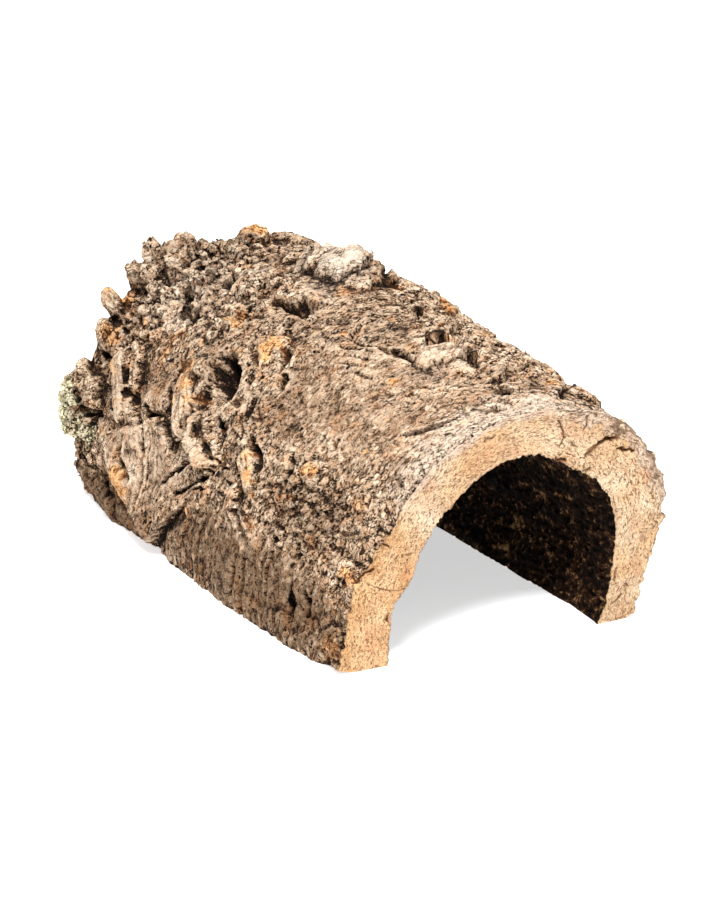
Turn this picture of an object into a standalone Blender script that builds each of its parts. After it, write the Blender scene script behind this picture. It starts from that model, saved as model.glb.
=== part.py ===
"""A cork branch: a half tube of virgin cork bark, sawn off square at both ends and lying on its two sawn long edges.

The bark is one closed solid. Its section is drawn in polar form about a line on the floor: angle 0 is the right
foot, 90 the crown and 180 the left foot. Lumps, folds, ledges and pits are placed on the outside by two
numbers, the distance behind the front cut in millimetres and the angle in degrees.
"""

import math

import bpy
import numpy as np

MM = 0.001

# Driving sizes, in millimetres
LENGTH = 312.0
ORIGIN = (88.5, 156.0, -3.5)
MM_PER_DEGREE = 1.9
GRID_STEP = 2.3
WALL_SHARES = (0.0, 0.12, 0.3, 0.5, 0.7, 0.88, 1.0)
TRIANGLES = 9600

# Radii of the half tube at every 30 degrees from the left foot (180) to the right foot (0)
STATIONS = (0.0, 105.0, 210.0, 312.0)
AXIS_X = (86.0, 84.0, 82.0, 84.0)
OUTER_RADII = (
    (86, 90, 98, 111, 120, 109, 76),
    (93, 93, 99, 114, 128, 114, 80),
    (87, 93, 103, 119, 130, 115, 82),
    (80, 90, 109, 119, 125, 108, 82),
)
INNER_RADII = (
    (62.5, 63, 72.5, 88.5, 88, 74, 57.5),
    (65, 64, 73, 87, 90, 77, 56.3),
    (62, 66, 75, 88, 93, 78, 57.5),
    (56, 64, 76, 87, 89, 76, 59),
)

# Lumps: place, reach along and around, height, flatness of the top (2 is a dome, more is a knob)
LUMPS = (
    ((226, 76), (20, 14), 12.5, 2.2),
    ((219, 72), (14, 9), 3.0, 2.0),
    ((236, 80), (10, 8), 3.0, 2.2),
    ((254, 76), (14, 11), 4.5, 2.2),
    ((303, 80), (10, 9), 7.0, 3.0),
    ((300, 68), (14, 12), 4.0, 3.0),
    ((286, 88), (9, 7), 3.5, 2.0),
    ((306, 102.5), (12, 13), 11.5, 3.5),
    ((296, 93), (9, 8), 3.5, 3.0),
    ((308, 106.2), (7, 5), 7.0, 2.5),
    ((305, 111), (9, 6.5), 16.5, 2.6),
    ((307, 121.5), (6.5, 5.5), 15.0, 2.6),
    ((306, 128.5), (8, 6), 3.0, 3.0),
    ((292, 113), (8, 7), 4.0, 3.0),
    ((303, 130), (10, 8), 3.0, 3.0),
    ((304, 151), (22, 20), 15.5, 2.3),
    ((0, 13), (46, 24), -8.0, 2.0),
    ((204, 60), (15, 11), 6.5, 3.0),
    ((84, 59), (28, 13), 2.5, 3.0),
    ((32, 58), (9, 8), 3.5, 3.0),
    ((211, 67), (10, 8), 4.5, 3.0),
    ((235, 178), (26, 9), 4.0, 2.0),
    ((175, 60), (12, 9), 4.0, 3.0),
    ((268, 113), (8, 7), 3.0, 3.0),
    ((277, 103), (8, 7), 3.5, 3.0),
    ((246, 104), (8, 7), 4.0, 3.0),
    ((252, 116), (9, 7), 2.5, 3.0),
    ((234, 96), (11, 8), 3.0, 3.0),
    ((212, 108), (11, 8), 3.0, 3.0),
    ((174, 107), (11, 9), 4.0, 3.0),
    ((152, 104), (9, 7), 2.0, 2.0),
    ((196, 120), (7, 8), 5.0, 3.0),
    ((164, 129), (7, 7), 4.5, 3.0),
    ((74, 131), (9, 8), 3.0, 3.0),
    ((85, 83), (13, 11), 4.5, 2.0),
    ((55, 178), (45, 9), 2.5, 2.0),
    ((268, 178), (26, 10), 4.0, 2.0),
    ((14, 150), (10, 7), 3.0, 3.0),
    ((10, 173), (9, 9), 3.0, 3.0),
    ((34, 176), (22, 12), 3.0, 2.0),
    ((284, 44), (15, 11), 5.0, 2.0),
    ((192, 36), (12, 12), 4.5, 2.0),
    ((118, 50), (13, 9), 3.5, 2.0),
    ((66, 26), (12, 9), 4.0, 2.0),
    ((246, 13), (13, 9), 4.0, 2.0),
    ((152, 18), (9, 8), 3.0, 2.2),
)

# Folds: rounded ridges that sweep round the bark, as a path, half width and height
FOLDS = (
    (((160, 124), (146, 129), (132, 134)), 8, 3.0),
    (((312, 99), (300, 92), (284, 86), (268, 84)), 7, 4.5),
    (((262, 97), (246, 92), (230, 90)), 6, 3.0),
    (((300, 52), (286, 42), (272, 34), (258, 30), (240, 32)), 13, 5.5),
    (((214, 46), (198, 38), (186, 28), (176, 16), (172, 6)), 13, 5.5),
    (((262, 18), (242, 12), (220, 14)), 10, 4.0),
    (((146, 46), (126, 42), (106, 42), (90, 48)), 10, 4.0),
    (((92, 36), (78, 26), (62, 20), (44, 22)), 11, 4.5),
    (((140, 26), (128, 14), (112, 8)), 9, 3.5),
    (((288, 131), (280, 134.5), (270, 139), (260, 143), (250, 148.5)), 5.6, 4.5),
    (((219, 122), (209, 128), (198, 133), (186, 137.5), (174, 141.5), (162, 144.5), (151, 146.5)), 8.0, 4.0),
    (((136, 136), (124, 140), (112, 146)), 5.2, 2.5),
)

# Ledges: a plate that ends in a step, as the edge's path with the plate on its left, its rise and its run back
LEDGES = (
    (
        (
            (286, 157), (264, 159), (246, 164), (230, 169), (214, 173),
            (201, 177), (191, 177), (182, 171), (172, 165), (162, 157),
        ),
        7.0,
        30,
    ),
    (((184, 149), (196, 145), (207, 142), (220, 141), (236, 147), (254, 152)), 5.0, 20),
    (((235, 149), (243, 144), (250, 139), (258, 130), (266, 122)), 3.5, 24),
    (((179, 143), (186, 135), (192, 126), (195, 116)), 6.0, 26),
    (((188, 130), (181, 139), (171, 143), (160, 147), (150, 149)), 5.5, 22),
    (((214, 140), (219, 133), (224, 124)), 3.0, 12),
    (((104, 150), (112, 152), (118, 150), (126, 144)), 4.0, 14),
    (((92, 79), (104, 76), (118, 71), (136, 66)), 5.5, 24),
    (((56, 80), (70, 79), (84, 76), (100, 72)), 4.5, 20),
    (((38, 77), (48, 75), (62, 71)), 4.0, 16),
    (((16, 69), (26, 66), (38, 61)), 3.5, 16),
    (((146, 68), (160, 64), (174, 60)), 4.0, 20),
    (((184, 76), (200, 70), (216, 62)), 4.0, 20),
    (((238, 108), (250, 102), (266, 96)), 4.0, 14),
    (((262, 24), (230, 36), (196, 44)), 6.0, 26),
    (((150, 26), (112, 34), (70, 40)), 6.0, 26),
    (((60, 10), (34, 24), (10, 30)), 5.0, 22),
)

# Pits and cracks: a path, the half width at its middle and the depth
PITS = (
    (((195, 116), (189, 119), (183, 123), (176, 127)), 11.0, 17.0),
    (((172, 116), (167, 119)), 4.5, 8.0),
    (((206, 95), (195, 93), (184, 90)), 8.0, 10.0),
    (((188, 90), (182, 98)), 5.0, 6.0),
    (((163, 106), (158, 109)), 4.5, 6.5),
    (((150, 111), (145, 114)), 5.5, 9.0),
    (((163, 133), (158, 138)), 4.5, 7.0),
    (((118, 153), (111, 155), (105, 159)), 4.2, 11.0),
    (((41, 84.5), (34, 82), (25, 80)), 2.6, 4.5),
    (((37, 109.5), (30, 105), (25, 101), (21, 97)), 2.6, 4.5),
    (((119, 90.5), (108, 88.5), (97, 86)), 2.4, 4.5),
    (((258, 92.5), (246, 90.5), (234, 88), (221, 86)), 3.6, 9.0),
    (((250, 69), (244, 73), (238, 78), (231, 82.5)), 4.0, 14.0),
    (((218, 63), (210, 66), (203, 70)), 2.0, 5.0),
    (((212, 61), (204, 64), (197, 68)), 2.0, 5.0),
    (((304, 106), (297, 108), (292, 109)), 7.0, 9.0),
    (((272, 107), (264, 109)), 7.0, 8.0),
    (((265, 99), (260, 102)), 5.5, 8.0),
    (((257, 96), (249, 99)), 5.0, 8.0),
    (((252, 110), (243, 113)), 5.0, 6.0),
    (((232, 99), (228, 101)), 4.5, 5.0),
    (((288, 120), (282, 122)), 5.0, 7.0),
    (((299, 113), (296, 117)), 4.0, 6.0),
    (((309, 110), (302, 112)), 5.0, 10.0),
    (((302, 134), (294, 136), (286, 137)), 4.0, 7.0),
    (((290, 126), (285, 128)), 4.0, 5.0),
    (((296, 147), (288, 151), (280, 152)), 6.0, 9.0),
    (((256, 139), (247, 142), (238, 147)), 3.5, 6.0),
    (((237, 141), (229, 143), (224, 141)), 7.0, 8.0),
    (((192, 159), (184, 154), (173, 150)), 2.4, 5.5),
    (((178, 159), (166, 154), (152, 148.5)), 2.6, 6.0),
    (((167, 158), (158, 154), (147, 151)), 1.5, 2.5),
    (((156, 121), (151, 125), (146, 128)), 4.0, 6.0),
    (((132, 132), (122, 135), (110, 141)), 4.5, 4.5),
    (((96, 129), (92, 133), (90, 137)), 3.5, 5.0),
    (((92, 171), (92, 180)), 4.0, 6.0),
    (((59, 153), (55, 158), (50, 164), (45, 175)), 4.0, 5.5),
    (((242, 152), (243, 158), (233, 162), (226, 163)), 5.0, 6.0),
    (((222, 151), (217, 160), (213, 170)), 3.0, 4.0),
    (((113, 79), (105, 77), (96, 75)), 5.0, 9.0),
    (((92, 77), (84, 77.5)), 2.5, 4.0),
    (((75, 79), (68, 79.5), (62, 80.5)), 4.5, 8.0),
    (((186, 66), (174, 66), (160, 68)), 4.0, 6.0),
    (((222, 132), (212, 137)), 3.0, 4.0),
    (((250, 22), (238, 30), (224, 34)), 6.0, 7.0),
    (((146, 34), (130, 26), (118, 18)), 5.0, 7.0),
    (((50, 40), (42, 30), (40, 16)), 5.0, 6.0),
    (((300, 30), (290, 18)), 5.0, 6.0),
    (((208, 8), (198, 16)), 5.0, 6.0),
)

# Rough ground: middle, reach along and around, height of the small lumps there
ROUGH_GROUND = (
    ((285, 106), (46, 50), 3.4),
    ((225, 100), (35, 25), 2.2),
    ((60, 142), (60, 24), 2.0),
    ((110, 66), (110, 20), 2.2),
    ((250, 66), (50, 22), 2.4),
    ((300, 172), (40, 26), 2.2),
    ((150, 20), (170, 44), 3.2),
    ((302, 152), (18, 18), 3.2),
)

# How far the worn edges of the front cut stand off the plain section: angle and millimetres
FRONT_OUTSIDE = (
    (180, 3), (175, 1.5), (170, -0.3), (165, 0), (160, -0.8), (156, 1), (150, 0), (147, -3), (143, -2.5),
    (140, -2.5), (137, -4.5), (133, -4.5), (129, -4.5), (125, -1.5), (120, -1), (115, 0), (105, 0.5),
    (95, 0.5), (90, 1), (85, 0), (80, 0), (75, -1), (70, -2), (65, -1), (60, 0), (55, 1.5),
    (50, 0.5), (45, 0.3), (40, 0.3), (35, 0.3), (32, -1), (30, -4.5), (27, -3), (24, -4), (20, -6),
    (15, -6.5), (12, -5), (9, -3.5), (5, -2), (2, 0), (0, 1),
)
FRONT_INSIDE = (
    (180, -0.5), (175, -1), (170, -0.5), (165, 0), (160, 1.6), (155, 2.2), (151, 0), (148, -1.2), (145, -2),
    (140, -2.4), (135, -2), (130, -1), (120, -0.3), (115, 0.5), (110, 0), (105, -1), (100, -1),
    (95, -0.5), (90, 1), (80, 1.8), (75, 1.3), (70, 0.4), (65, 1), (60, 1.5), (55, 2), (50, 3),
    (45, 4), (40, 3), (35, 2), (30, 0), (25, -1.3), (20, -3), (15, -2), (10, -2.5), (5, -2), (0, -2.5),
)

# The feet are rounded, and reach this far below the line of the section
KEEL = 3.5

# Cracks and chips of the sawn front face: angle, share of the wall from inside, half sizes and depth
FACE_PITS = (
    (58.5, 0.55, 3.5, 6.0, 4.5),
    (71, 0.40, 2.5, 6.0, 2.0),
    (50, 0.75, 3.5, 3.0, 2.5),
    (147, 0.92, 4.0, 4.0, 3.0),
)


def smooth_step(x):
    x = np.clip(x, 0.0, 1.0)
    return x * x * (3.0 - 2.0 * x)


def spline(rows, place):
    """Catmull-Rom values of rows at places counted from 0 along the first axis."""
    rows = np.asarray(rows, float)
    rows = np.concatenate([2 * rows[:1] - rows[1:2], rows, 2 * rows[-1:] - rows[-2:-1]])
    index = np.clip(np.floor(place).astype(int), 0, len(rows) - 4)
    part = place - index
    part = part.reshape(part.shape + (1,) * (rows.ndim - 1))
    a, b, c, d = (rows[index + k] for k in range(4))
    return 0.5 * (
        2 * b
        + (c - a) * part
        + (2 * a - 5 * b + 4 * c - d) * part**2
        + (3 * b - a - 3 * c + d) * part**3
    )


def section(radii, along, degrees):
    """Radii on a grid of distances along the tube and angles, with no relief."""
    station = np.interp(along, STATIONS, np.arange(len(STATIONS)))
    by_station = spline(radii, station)
    return spline(by_station.T, (180.0 - degrees) / 30.0).T


def hash_unit(i, j, seed):
    """A repeatable number from 0 to 1 for each cell of a square lattice."""
    h = (i * 374761393 + j * 668265263 + seed * 974634777) & 0xFFFFFFFF
    h = ((h ^ (h >> 13)) * 1274126177) & 0xFFFFFFFF
    return ((h ^ (h >> 16)) & 0xFFFFFFFF) / 4294967295.0


def gradient_noise(x, y, seed):
    """Smooth noise between about -1 and 1, one bump to a unit."""
    i, j = np.floor(x).astype(np.int64), np.floor(y).astype(np.int64)
    u, v = x - i, y - j
    fade_u, fade_v = u**3 * (u * (u * 6 - 15) + 10), v**3 * (v * (v * 6 - 15) + 10)

    def corner(di, dj):
        turn = 2 * math.pi * hash_unit(i + di, j + dj, seed)
        return np.cos(turn) * (u - di) + np.sin(turn) * (v - dj)

    low = corner(0, 0) * (1 - fade_u) + corner(1, 0) * fade_u
    high = corner(0, 1) * (1 - fade_u) + corner(1, 1) * fade_u
    return 1.5 * (low * (1 - fade_v) + high * fade_v)


def cell_noise(x, y, seed):
    """Distances to the nearest and second nearest of a scatter of points, one to a unit square."""
    i, j = np.floor(x).astype(np.int64), np.floor(y).astype(np.int64)
    nearest = np.full(x.shape, 9.0)
    second = np.full(x.shape, 9.0)
    for di in (-1, 0, 1):
        for dj in (-1, 0, 1):
            px = i + di + 0.15 + 0.7 * hash_unit(i + di, j + dj, seed)
            py = j + dj + 0.15 + 0.7 * hash_unit(i + di, j + dj, seed + 1)
            distance = np.hypot(x - px, y - py)
            second = np.minimum(second, np.maximum(nearest, distance))
            nearest = np.minimum(nearest, distance)
    return nearest, second


def follow(path, s, t):
    """Distance of each point from a smooth path, its side (left is +1) and how far along the path it is."""
    points = np.array([(place, angle * MM_PER_DEGREE) for place, angle in path], float)
    line = spline(points, np.linspace(0, len(path) - 1, 6 * (len(path) - 1) + 1))
    best = np.full(s.shape, 1e9)
    side = np.ones(s.shape)
    share = np.zeros(s.shape)
    for k in range(len(line) - 1):
        (s0, t0), (ds, dt) = line[k], line[k + 1] - line[k]
        along = np.clip(((s - s0) * ds + (t - t0) * dt) / (ds * ds + dt * dt), 0, 1)
        gap_s, gap_t = s - s0 - along * ds, t - t0 - along * dt
        distance = np.hypot(gap_s, gap_t)
        closer = distance < best
        best = np.where(closer, distance, best)
        side = np.where(closer, np.sign(ds * gap_t - dt * gap_s), side)
        share = np.where(closer, (k + along) / (len(line) - 1), share)
    return best, side, share


def lump_height(s, t, lump):
    (place, angle), (reach_s, reach_t), height, flatness = lump
    gap_s, gap_t = s - place, t - angle * MM_PER_DEGREE
    uneven = 1 + 0.28 * gradient_noise(gap_s / 9 + place, gap_t / 9, 17)
    distance = np.hypot(gap_s / reach_s, gap_t / reach_t) * uneven
    return height * np.sqrt(np.clip(1 - distance**flatness, 0, 1))


def fold_height(s, t, fold):
    path, half_width, height = fold
    distance, side, share = follow(path, s, t)
    taper = smooth_step(4 * share + 0.3) * smooth_step(4 * (1 - share) + 0.3)
    return height * taper * np.sqrt(np.clip(1 - (distance / half_width) ** 2, 0, 1))


def ledge_height(s, t, ledge):
    path, rise, run = ledge
    distance, side, share = follow(path, s, t)
    taper = smooth_step(6 * share) * smooth_step(6 * (1 - share))
    plate = smooth_step(1 - distance / run) * smooth_step(distance / 1.5)
    gutter = -0.35 * smooth_step(1 - distance / 9.0)
    return rise * taper * np.where(side > 0, plate, gutter)


def pit_depth(s, t, pit):
    path, half_width, depth = pit
    distance, side, share = follow(path, s, t)
    narrow = half_width * (0.45 + 0.55 * np.sin(np.pi * np.clip(share, 0.08, 0.92)))
    return -depth * smooth_step(1.25 * (1 - distance / narrow))


def outside_relief(s, degrees):
    """Height of the bark above its plain section, in millimetres."""
    t = degrees * MM_PER_DEGREE
    # The paths waver a little, as torn edges do
    ws = s + 2.2 * gradient_noise(s / 13, t / 13, 11) + 0.9 * gradient_noise(s / 5, t / 5, 12)
    wt = t + 2.2 * gradient_noise(s / 13, t / 13, 13) + 0.9 * gradient_noise(s / 5, t / 5, 14)
    height = 2.2 * gradient_noise(s / 62, t / 48, 1) + 1.3 * gradient_noise(s / 24, t / 20, 2)
    height += 0.4 * gradient_noise(ws / 11, wt / 9, 3)
    height += sum(lump_height(ws, wt, lump) for lump in LUMPS)
    height += sum(fold_height(ws, wt, fold) for fold in FOLDS)
    height += sum(ledge_height(ws, wt, ledge) for ledge in LEDGES)
    height += sum(pit_depth(ws, wt, pit) for pit in PITS)

    rough = np.full(s.shape, 0.4)
    for (place, angle), (reach_s, reach_t), amount in ROUGH_GROUND:
        distance = np.hypot((s - place) / reach_s, (t - angle * MM_PER_DEGREE) / (reach_t * 1.6))
        rough = np.maximum(rough, amount * smooth_step(1.6 * (1 - distance)))
    nearest, second = cell_noise(ws / 11.5, wt / 9.5, 21)
    knobs = smooth_step(1.5 * (second - nearest)) - 0.5
    height += rough * knobs
    height -= 1.0  # The relief stands half above and half below the plain section

    # The front cut keeps its own outline, and the upper edges of both cuts are worn round
    height *= 0.2 + 0.8 * smooth_step(s / 10)
    angles, offsets = np.array(FRONT_OUTSIDE[::-1], float).T
    height += np.interp(degrees, angles, offsets) * smooth_step(1 - s / 14)
    worn = smooth_step((degrees - 78) / 14) * smooth_step((132 - degrees) / 14)
    height -= (0.5 + 1.1 * worn) * np.clip(1 - s / 3.5, 0, 1) ** 2
    height -= 1.4 * np.clip(1 - (LENGTH - s) / 4, 0, 1) ** 2
    return height


def inside_relief(s, degrees):
    """The inside is calmer, with low ripples that run along the tube."""
    t = degrees * MM_PER_DEGREE
    ripples = 0.9 * gradient_noise(s / 60, t / 9, 31) + 1.2 * gradient_noise(s / 26, t / 22, 32)
    angles, offsets = np.array(FRONT_INSIDE[::-1], float).T
    return ripples + np.interp(degrees, angles, offsets) * smooth_step(1 - s / 30)


def front_face_relief(degrees, share):
    """How far the sawn front face is chipped back at an angle and a share of the wall from the inside."""
    chip = 0.35 * np.abs(gradient_noise(degrees / 7, share * 4, 41))
    for angle, place, half_t, half_wall, depth in FACE_PITS:
        distance = np.hypot((degrees - angle) * 1.6 / half_t, (share - place) * 26 / half_wall)
        chip = chip + depth * smooth_step(1.3 * (1 - distance))
    return chip * np.sin(np.pi * np.clip(share, 0, 1)) ** 0.5


def back_face_relief(degrees, share):
    return 0.5 * np.abs(gradient_noise(degrees / 9, share * 4, 42)) * np.sin(np.pi * share)


def keel_depth(share, z):
    """How far the rounded foot of the wall stands below the section's line."""
    middle = smooth_step(np.minimum(share, 1 - share) / 0.3)
    return KEEL * middle * np.clip(1 - z / 14, 0, 1) ** 2


def bark_surface():
    """Vertices and faces of the closed half tube."""
    columns = int(LENGTH / GRID_STEP)
    rows = int(180 * MM_PER_DEGREE / GRID_STEP)
    s, degrees = np.meshgrid(np.linspace(0, LENGTH, columns + 1), np.linspace(180, 0, rows + 1))
    axis_x = spline(AXIS_X, np.interp(s, STATIONS, np.arange(len(STATIONS))).ravel()).reshape(s.shape)
    relief = outside_relief(s, degrees)
    outer = section(OUTER_RADII, s[0], degrees[:, 0]).T + relief
    inner = section(INNER_RADII, s[0], degrees[:, 0]).T + inside_relief(s, degrees)

    # High ground leans down the walls and to the front, away from the feet and the ends
    clear = np.minimum(s, LENGTH - s) / 18
    off_floor = np.minimum(degrees, 180 - degrees) / 12
    lean = smooth_step(clear) * smooth_step(off_floor)
    turn = smooth_step((degrees - 60) / 50) - smooth_step((50 - degrees) / 40)
    lean_t = 0.40 * relief * lean * turn
    lean_s = -0.25 * relief * lean
    turned = np.radians(degrees + lean_t / MM_PER_DEGREE)

    def place(radius, angle, y):
        z = radius * np.sin(angle)
        z[0], z[-1] = 0, 0
        return np.stack([axis_x + radius * np.cos(angle), y, z], -1)

    outer_points = place(outer, turned, s + lean_s)
    inner_points = place(inner, np.radians(degrees), s)

    # The wall is filled with a grid of points, of which only the six sides are used
    share = np.array(WALL_SHARES)[:, None, None, None]
    block = inner_points + share * (outer_points - inner_points)
    block[..., 2] -= keel_depth(share[..., 0], block[..., 2])
    share = share[:, :, 0, 0]
    block[:, :, 0, 1] += front_face_relief(degrees[:, 0], share)
    block[:, :, -1, 1] -= back_face_relief(degrees[:, 0], share)

    ids = np.arange(block[..., 0].size).reshape(block.shape[:3])
    sides = (
        (ids[:, :, 0], ids[:, :, -1]),
        (ids[:, 0, :].T, ids[:, -1, :].T),
        (ids[0], ids[-1]),
    )
    faces = []
    for first, last in sides:
        faces.append(quads(first))
        faces.append(quads(last)[:, ::-1])
    faces = np.concatenate(faces)
    used, faces = np.unique(faces, return_inverse=True)
    return block.reshape(-1, 3)[used], faces.reshape(-1, 4)


def quads(ids):
    """Four corners for each square of a grid of vertex numbers."""
    return np.stack([ids[:-1, :-1], ids[:-1, 1:], ids[1:, 1:], ids[1:, :-1]], -1).reshape(-1, 4)


def cork_material():
    material = bpy.data.materials.new("cork")
    material.use_nodes = True
    shader = material.node_tree.nodes["Principled BSDF"]
    shader.inputs["Base Color"].default_value = (0.31, 0.22, 0.15, 1)
    shader.inputs["Roughness"].default_value = 0.92
    shader.inputs["Metallic"].default_value = 0.0
    return material


def build():
    for old in list(bpy.data.objects):
        bpy.data.objects.remove(old, do_unlink=True)
    vertices, faces = bark_surface()
    vertices -= np.array(ORIGIN)
    mesh = bpy.data.meshes.new("cork_bark")
    mesh.from_pydata((vertices * MM).tolist(), [], faces.tolist())
    mesh.materials.append(cork_material())
    bark = bpy.data.objects.new("cork_bark", mesh)
    bpy.context.scene.collection.objects.link(bark)
    triangles = 2 * len(faces)
    thin = bark.modifiers.new("fewer faces", "DECIMATE")
    thin.ratio = TRIANGLES / triangles
    low = vertices.min(0)
    high = vertices.max(0)
    print("cork bark from", low.round(1), "to", high.round(1), "mm,", triangles, "triangles before thinning")


build()
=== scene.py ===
import math

import bpy
import numpy as np
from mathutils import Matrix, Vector


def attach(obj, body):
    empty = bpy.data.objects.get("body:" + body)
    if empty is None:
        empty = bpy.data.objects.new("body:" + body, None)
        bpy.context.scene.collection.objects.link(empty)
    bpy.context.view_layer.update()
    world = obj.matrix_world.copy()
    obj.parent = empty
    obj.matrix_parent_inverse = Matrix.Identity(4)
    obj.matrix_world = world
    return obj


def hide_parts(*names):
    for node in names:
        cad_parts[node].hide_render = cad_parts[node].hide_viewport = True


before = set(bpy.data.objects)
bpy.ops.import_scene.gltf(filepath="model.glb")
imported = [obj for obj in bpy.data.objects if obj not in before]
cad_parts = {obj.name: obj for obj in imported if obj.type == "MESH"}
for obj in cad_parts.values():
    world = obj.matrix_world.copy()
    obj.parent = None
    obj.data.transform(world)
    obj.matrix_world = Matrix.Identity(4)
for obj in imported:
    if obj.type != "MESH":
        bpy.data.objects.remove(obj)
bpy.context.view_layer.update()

mm = 0.001

# The plain half tube. Angles go from the right foot (0) over the crown (90) to the left foot (180)
tube = {
    "length": 312.0,
    "origin": (88.5, 156.0, -3.5),  # of the shared frame, from the left foot's front corner
    "mmPerDegree": 1.9,
    "stations": (0.0, 105.0, 210.0, 312.0),
    "axisX": (86.0, 84.0, 82.0, 84.0),
    "outerRadii": (  # every 30 degrees from the left foot to the right one
        (86, 90, 98, 111, 120, 109, 76),
        (93, 93, 99, 114, 128, 114, 80),
        (87, 93, 103, 119, 130, 115, 82),
        (80, 90, 109, 119, 125, 108, 82),
    ),
    "innerRadii": (
        (62.5, 63, 72.5, 88.5, 88, 74, 57.5),
        (65, 64, 73, 87, 90, 77, 56.3),
        (62, 66, 75, 88, 93, 78, 57.5),
        (56, 64, 76, 87, 89, 76, 59),
    ),
    "columns": 537,  # a multiple of 3, as the bark is in three lengths
    "rows": 550,
    "faceStrips": 44,
    "footStrips": 8,
}

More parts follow.
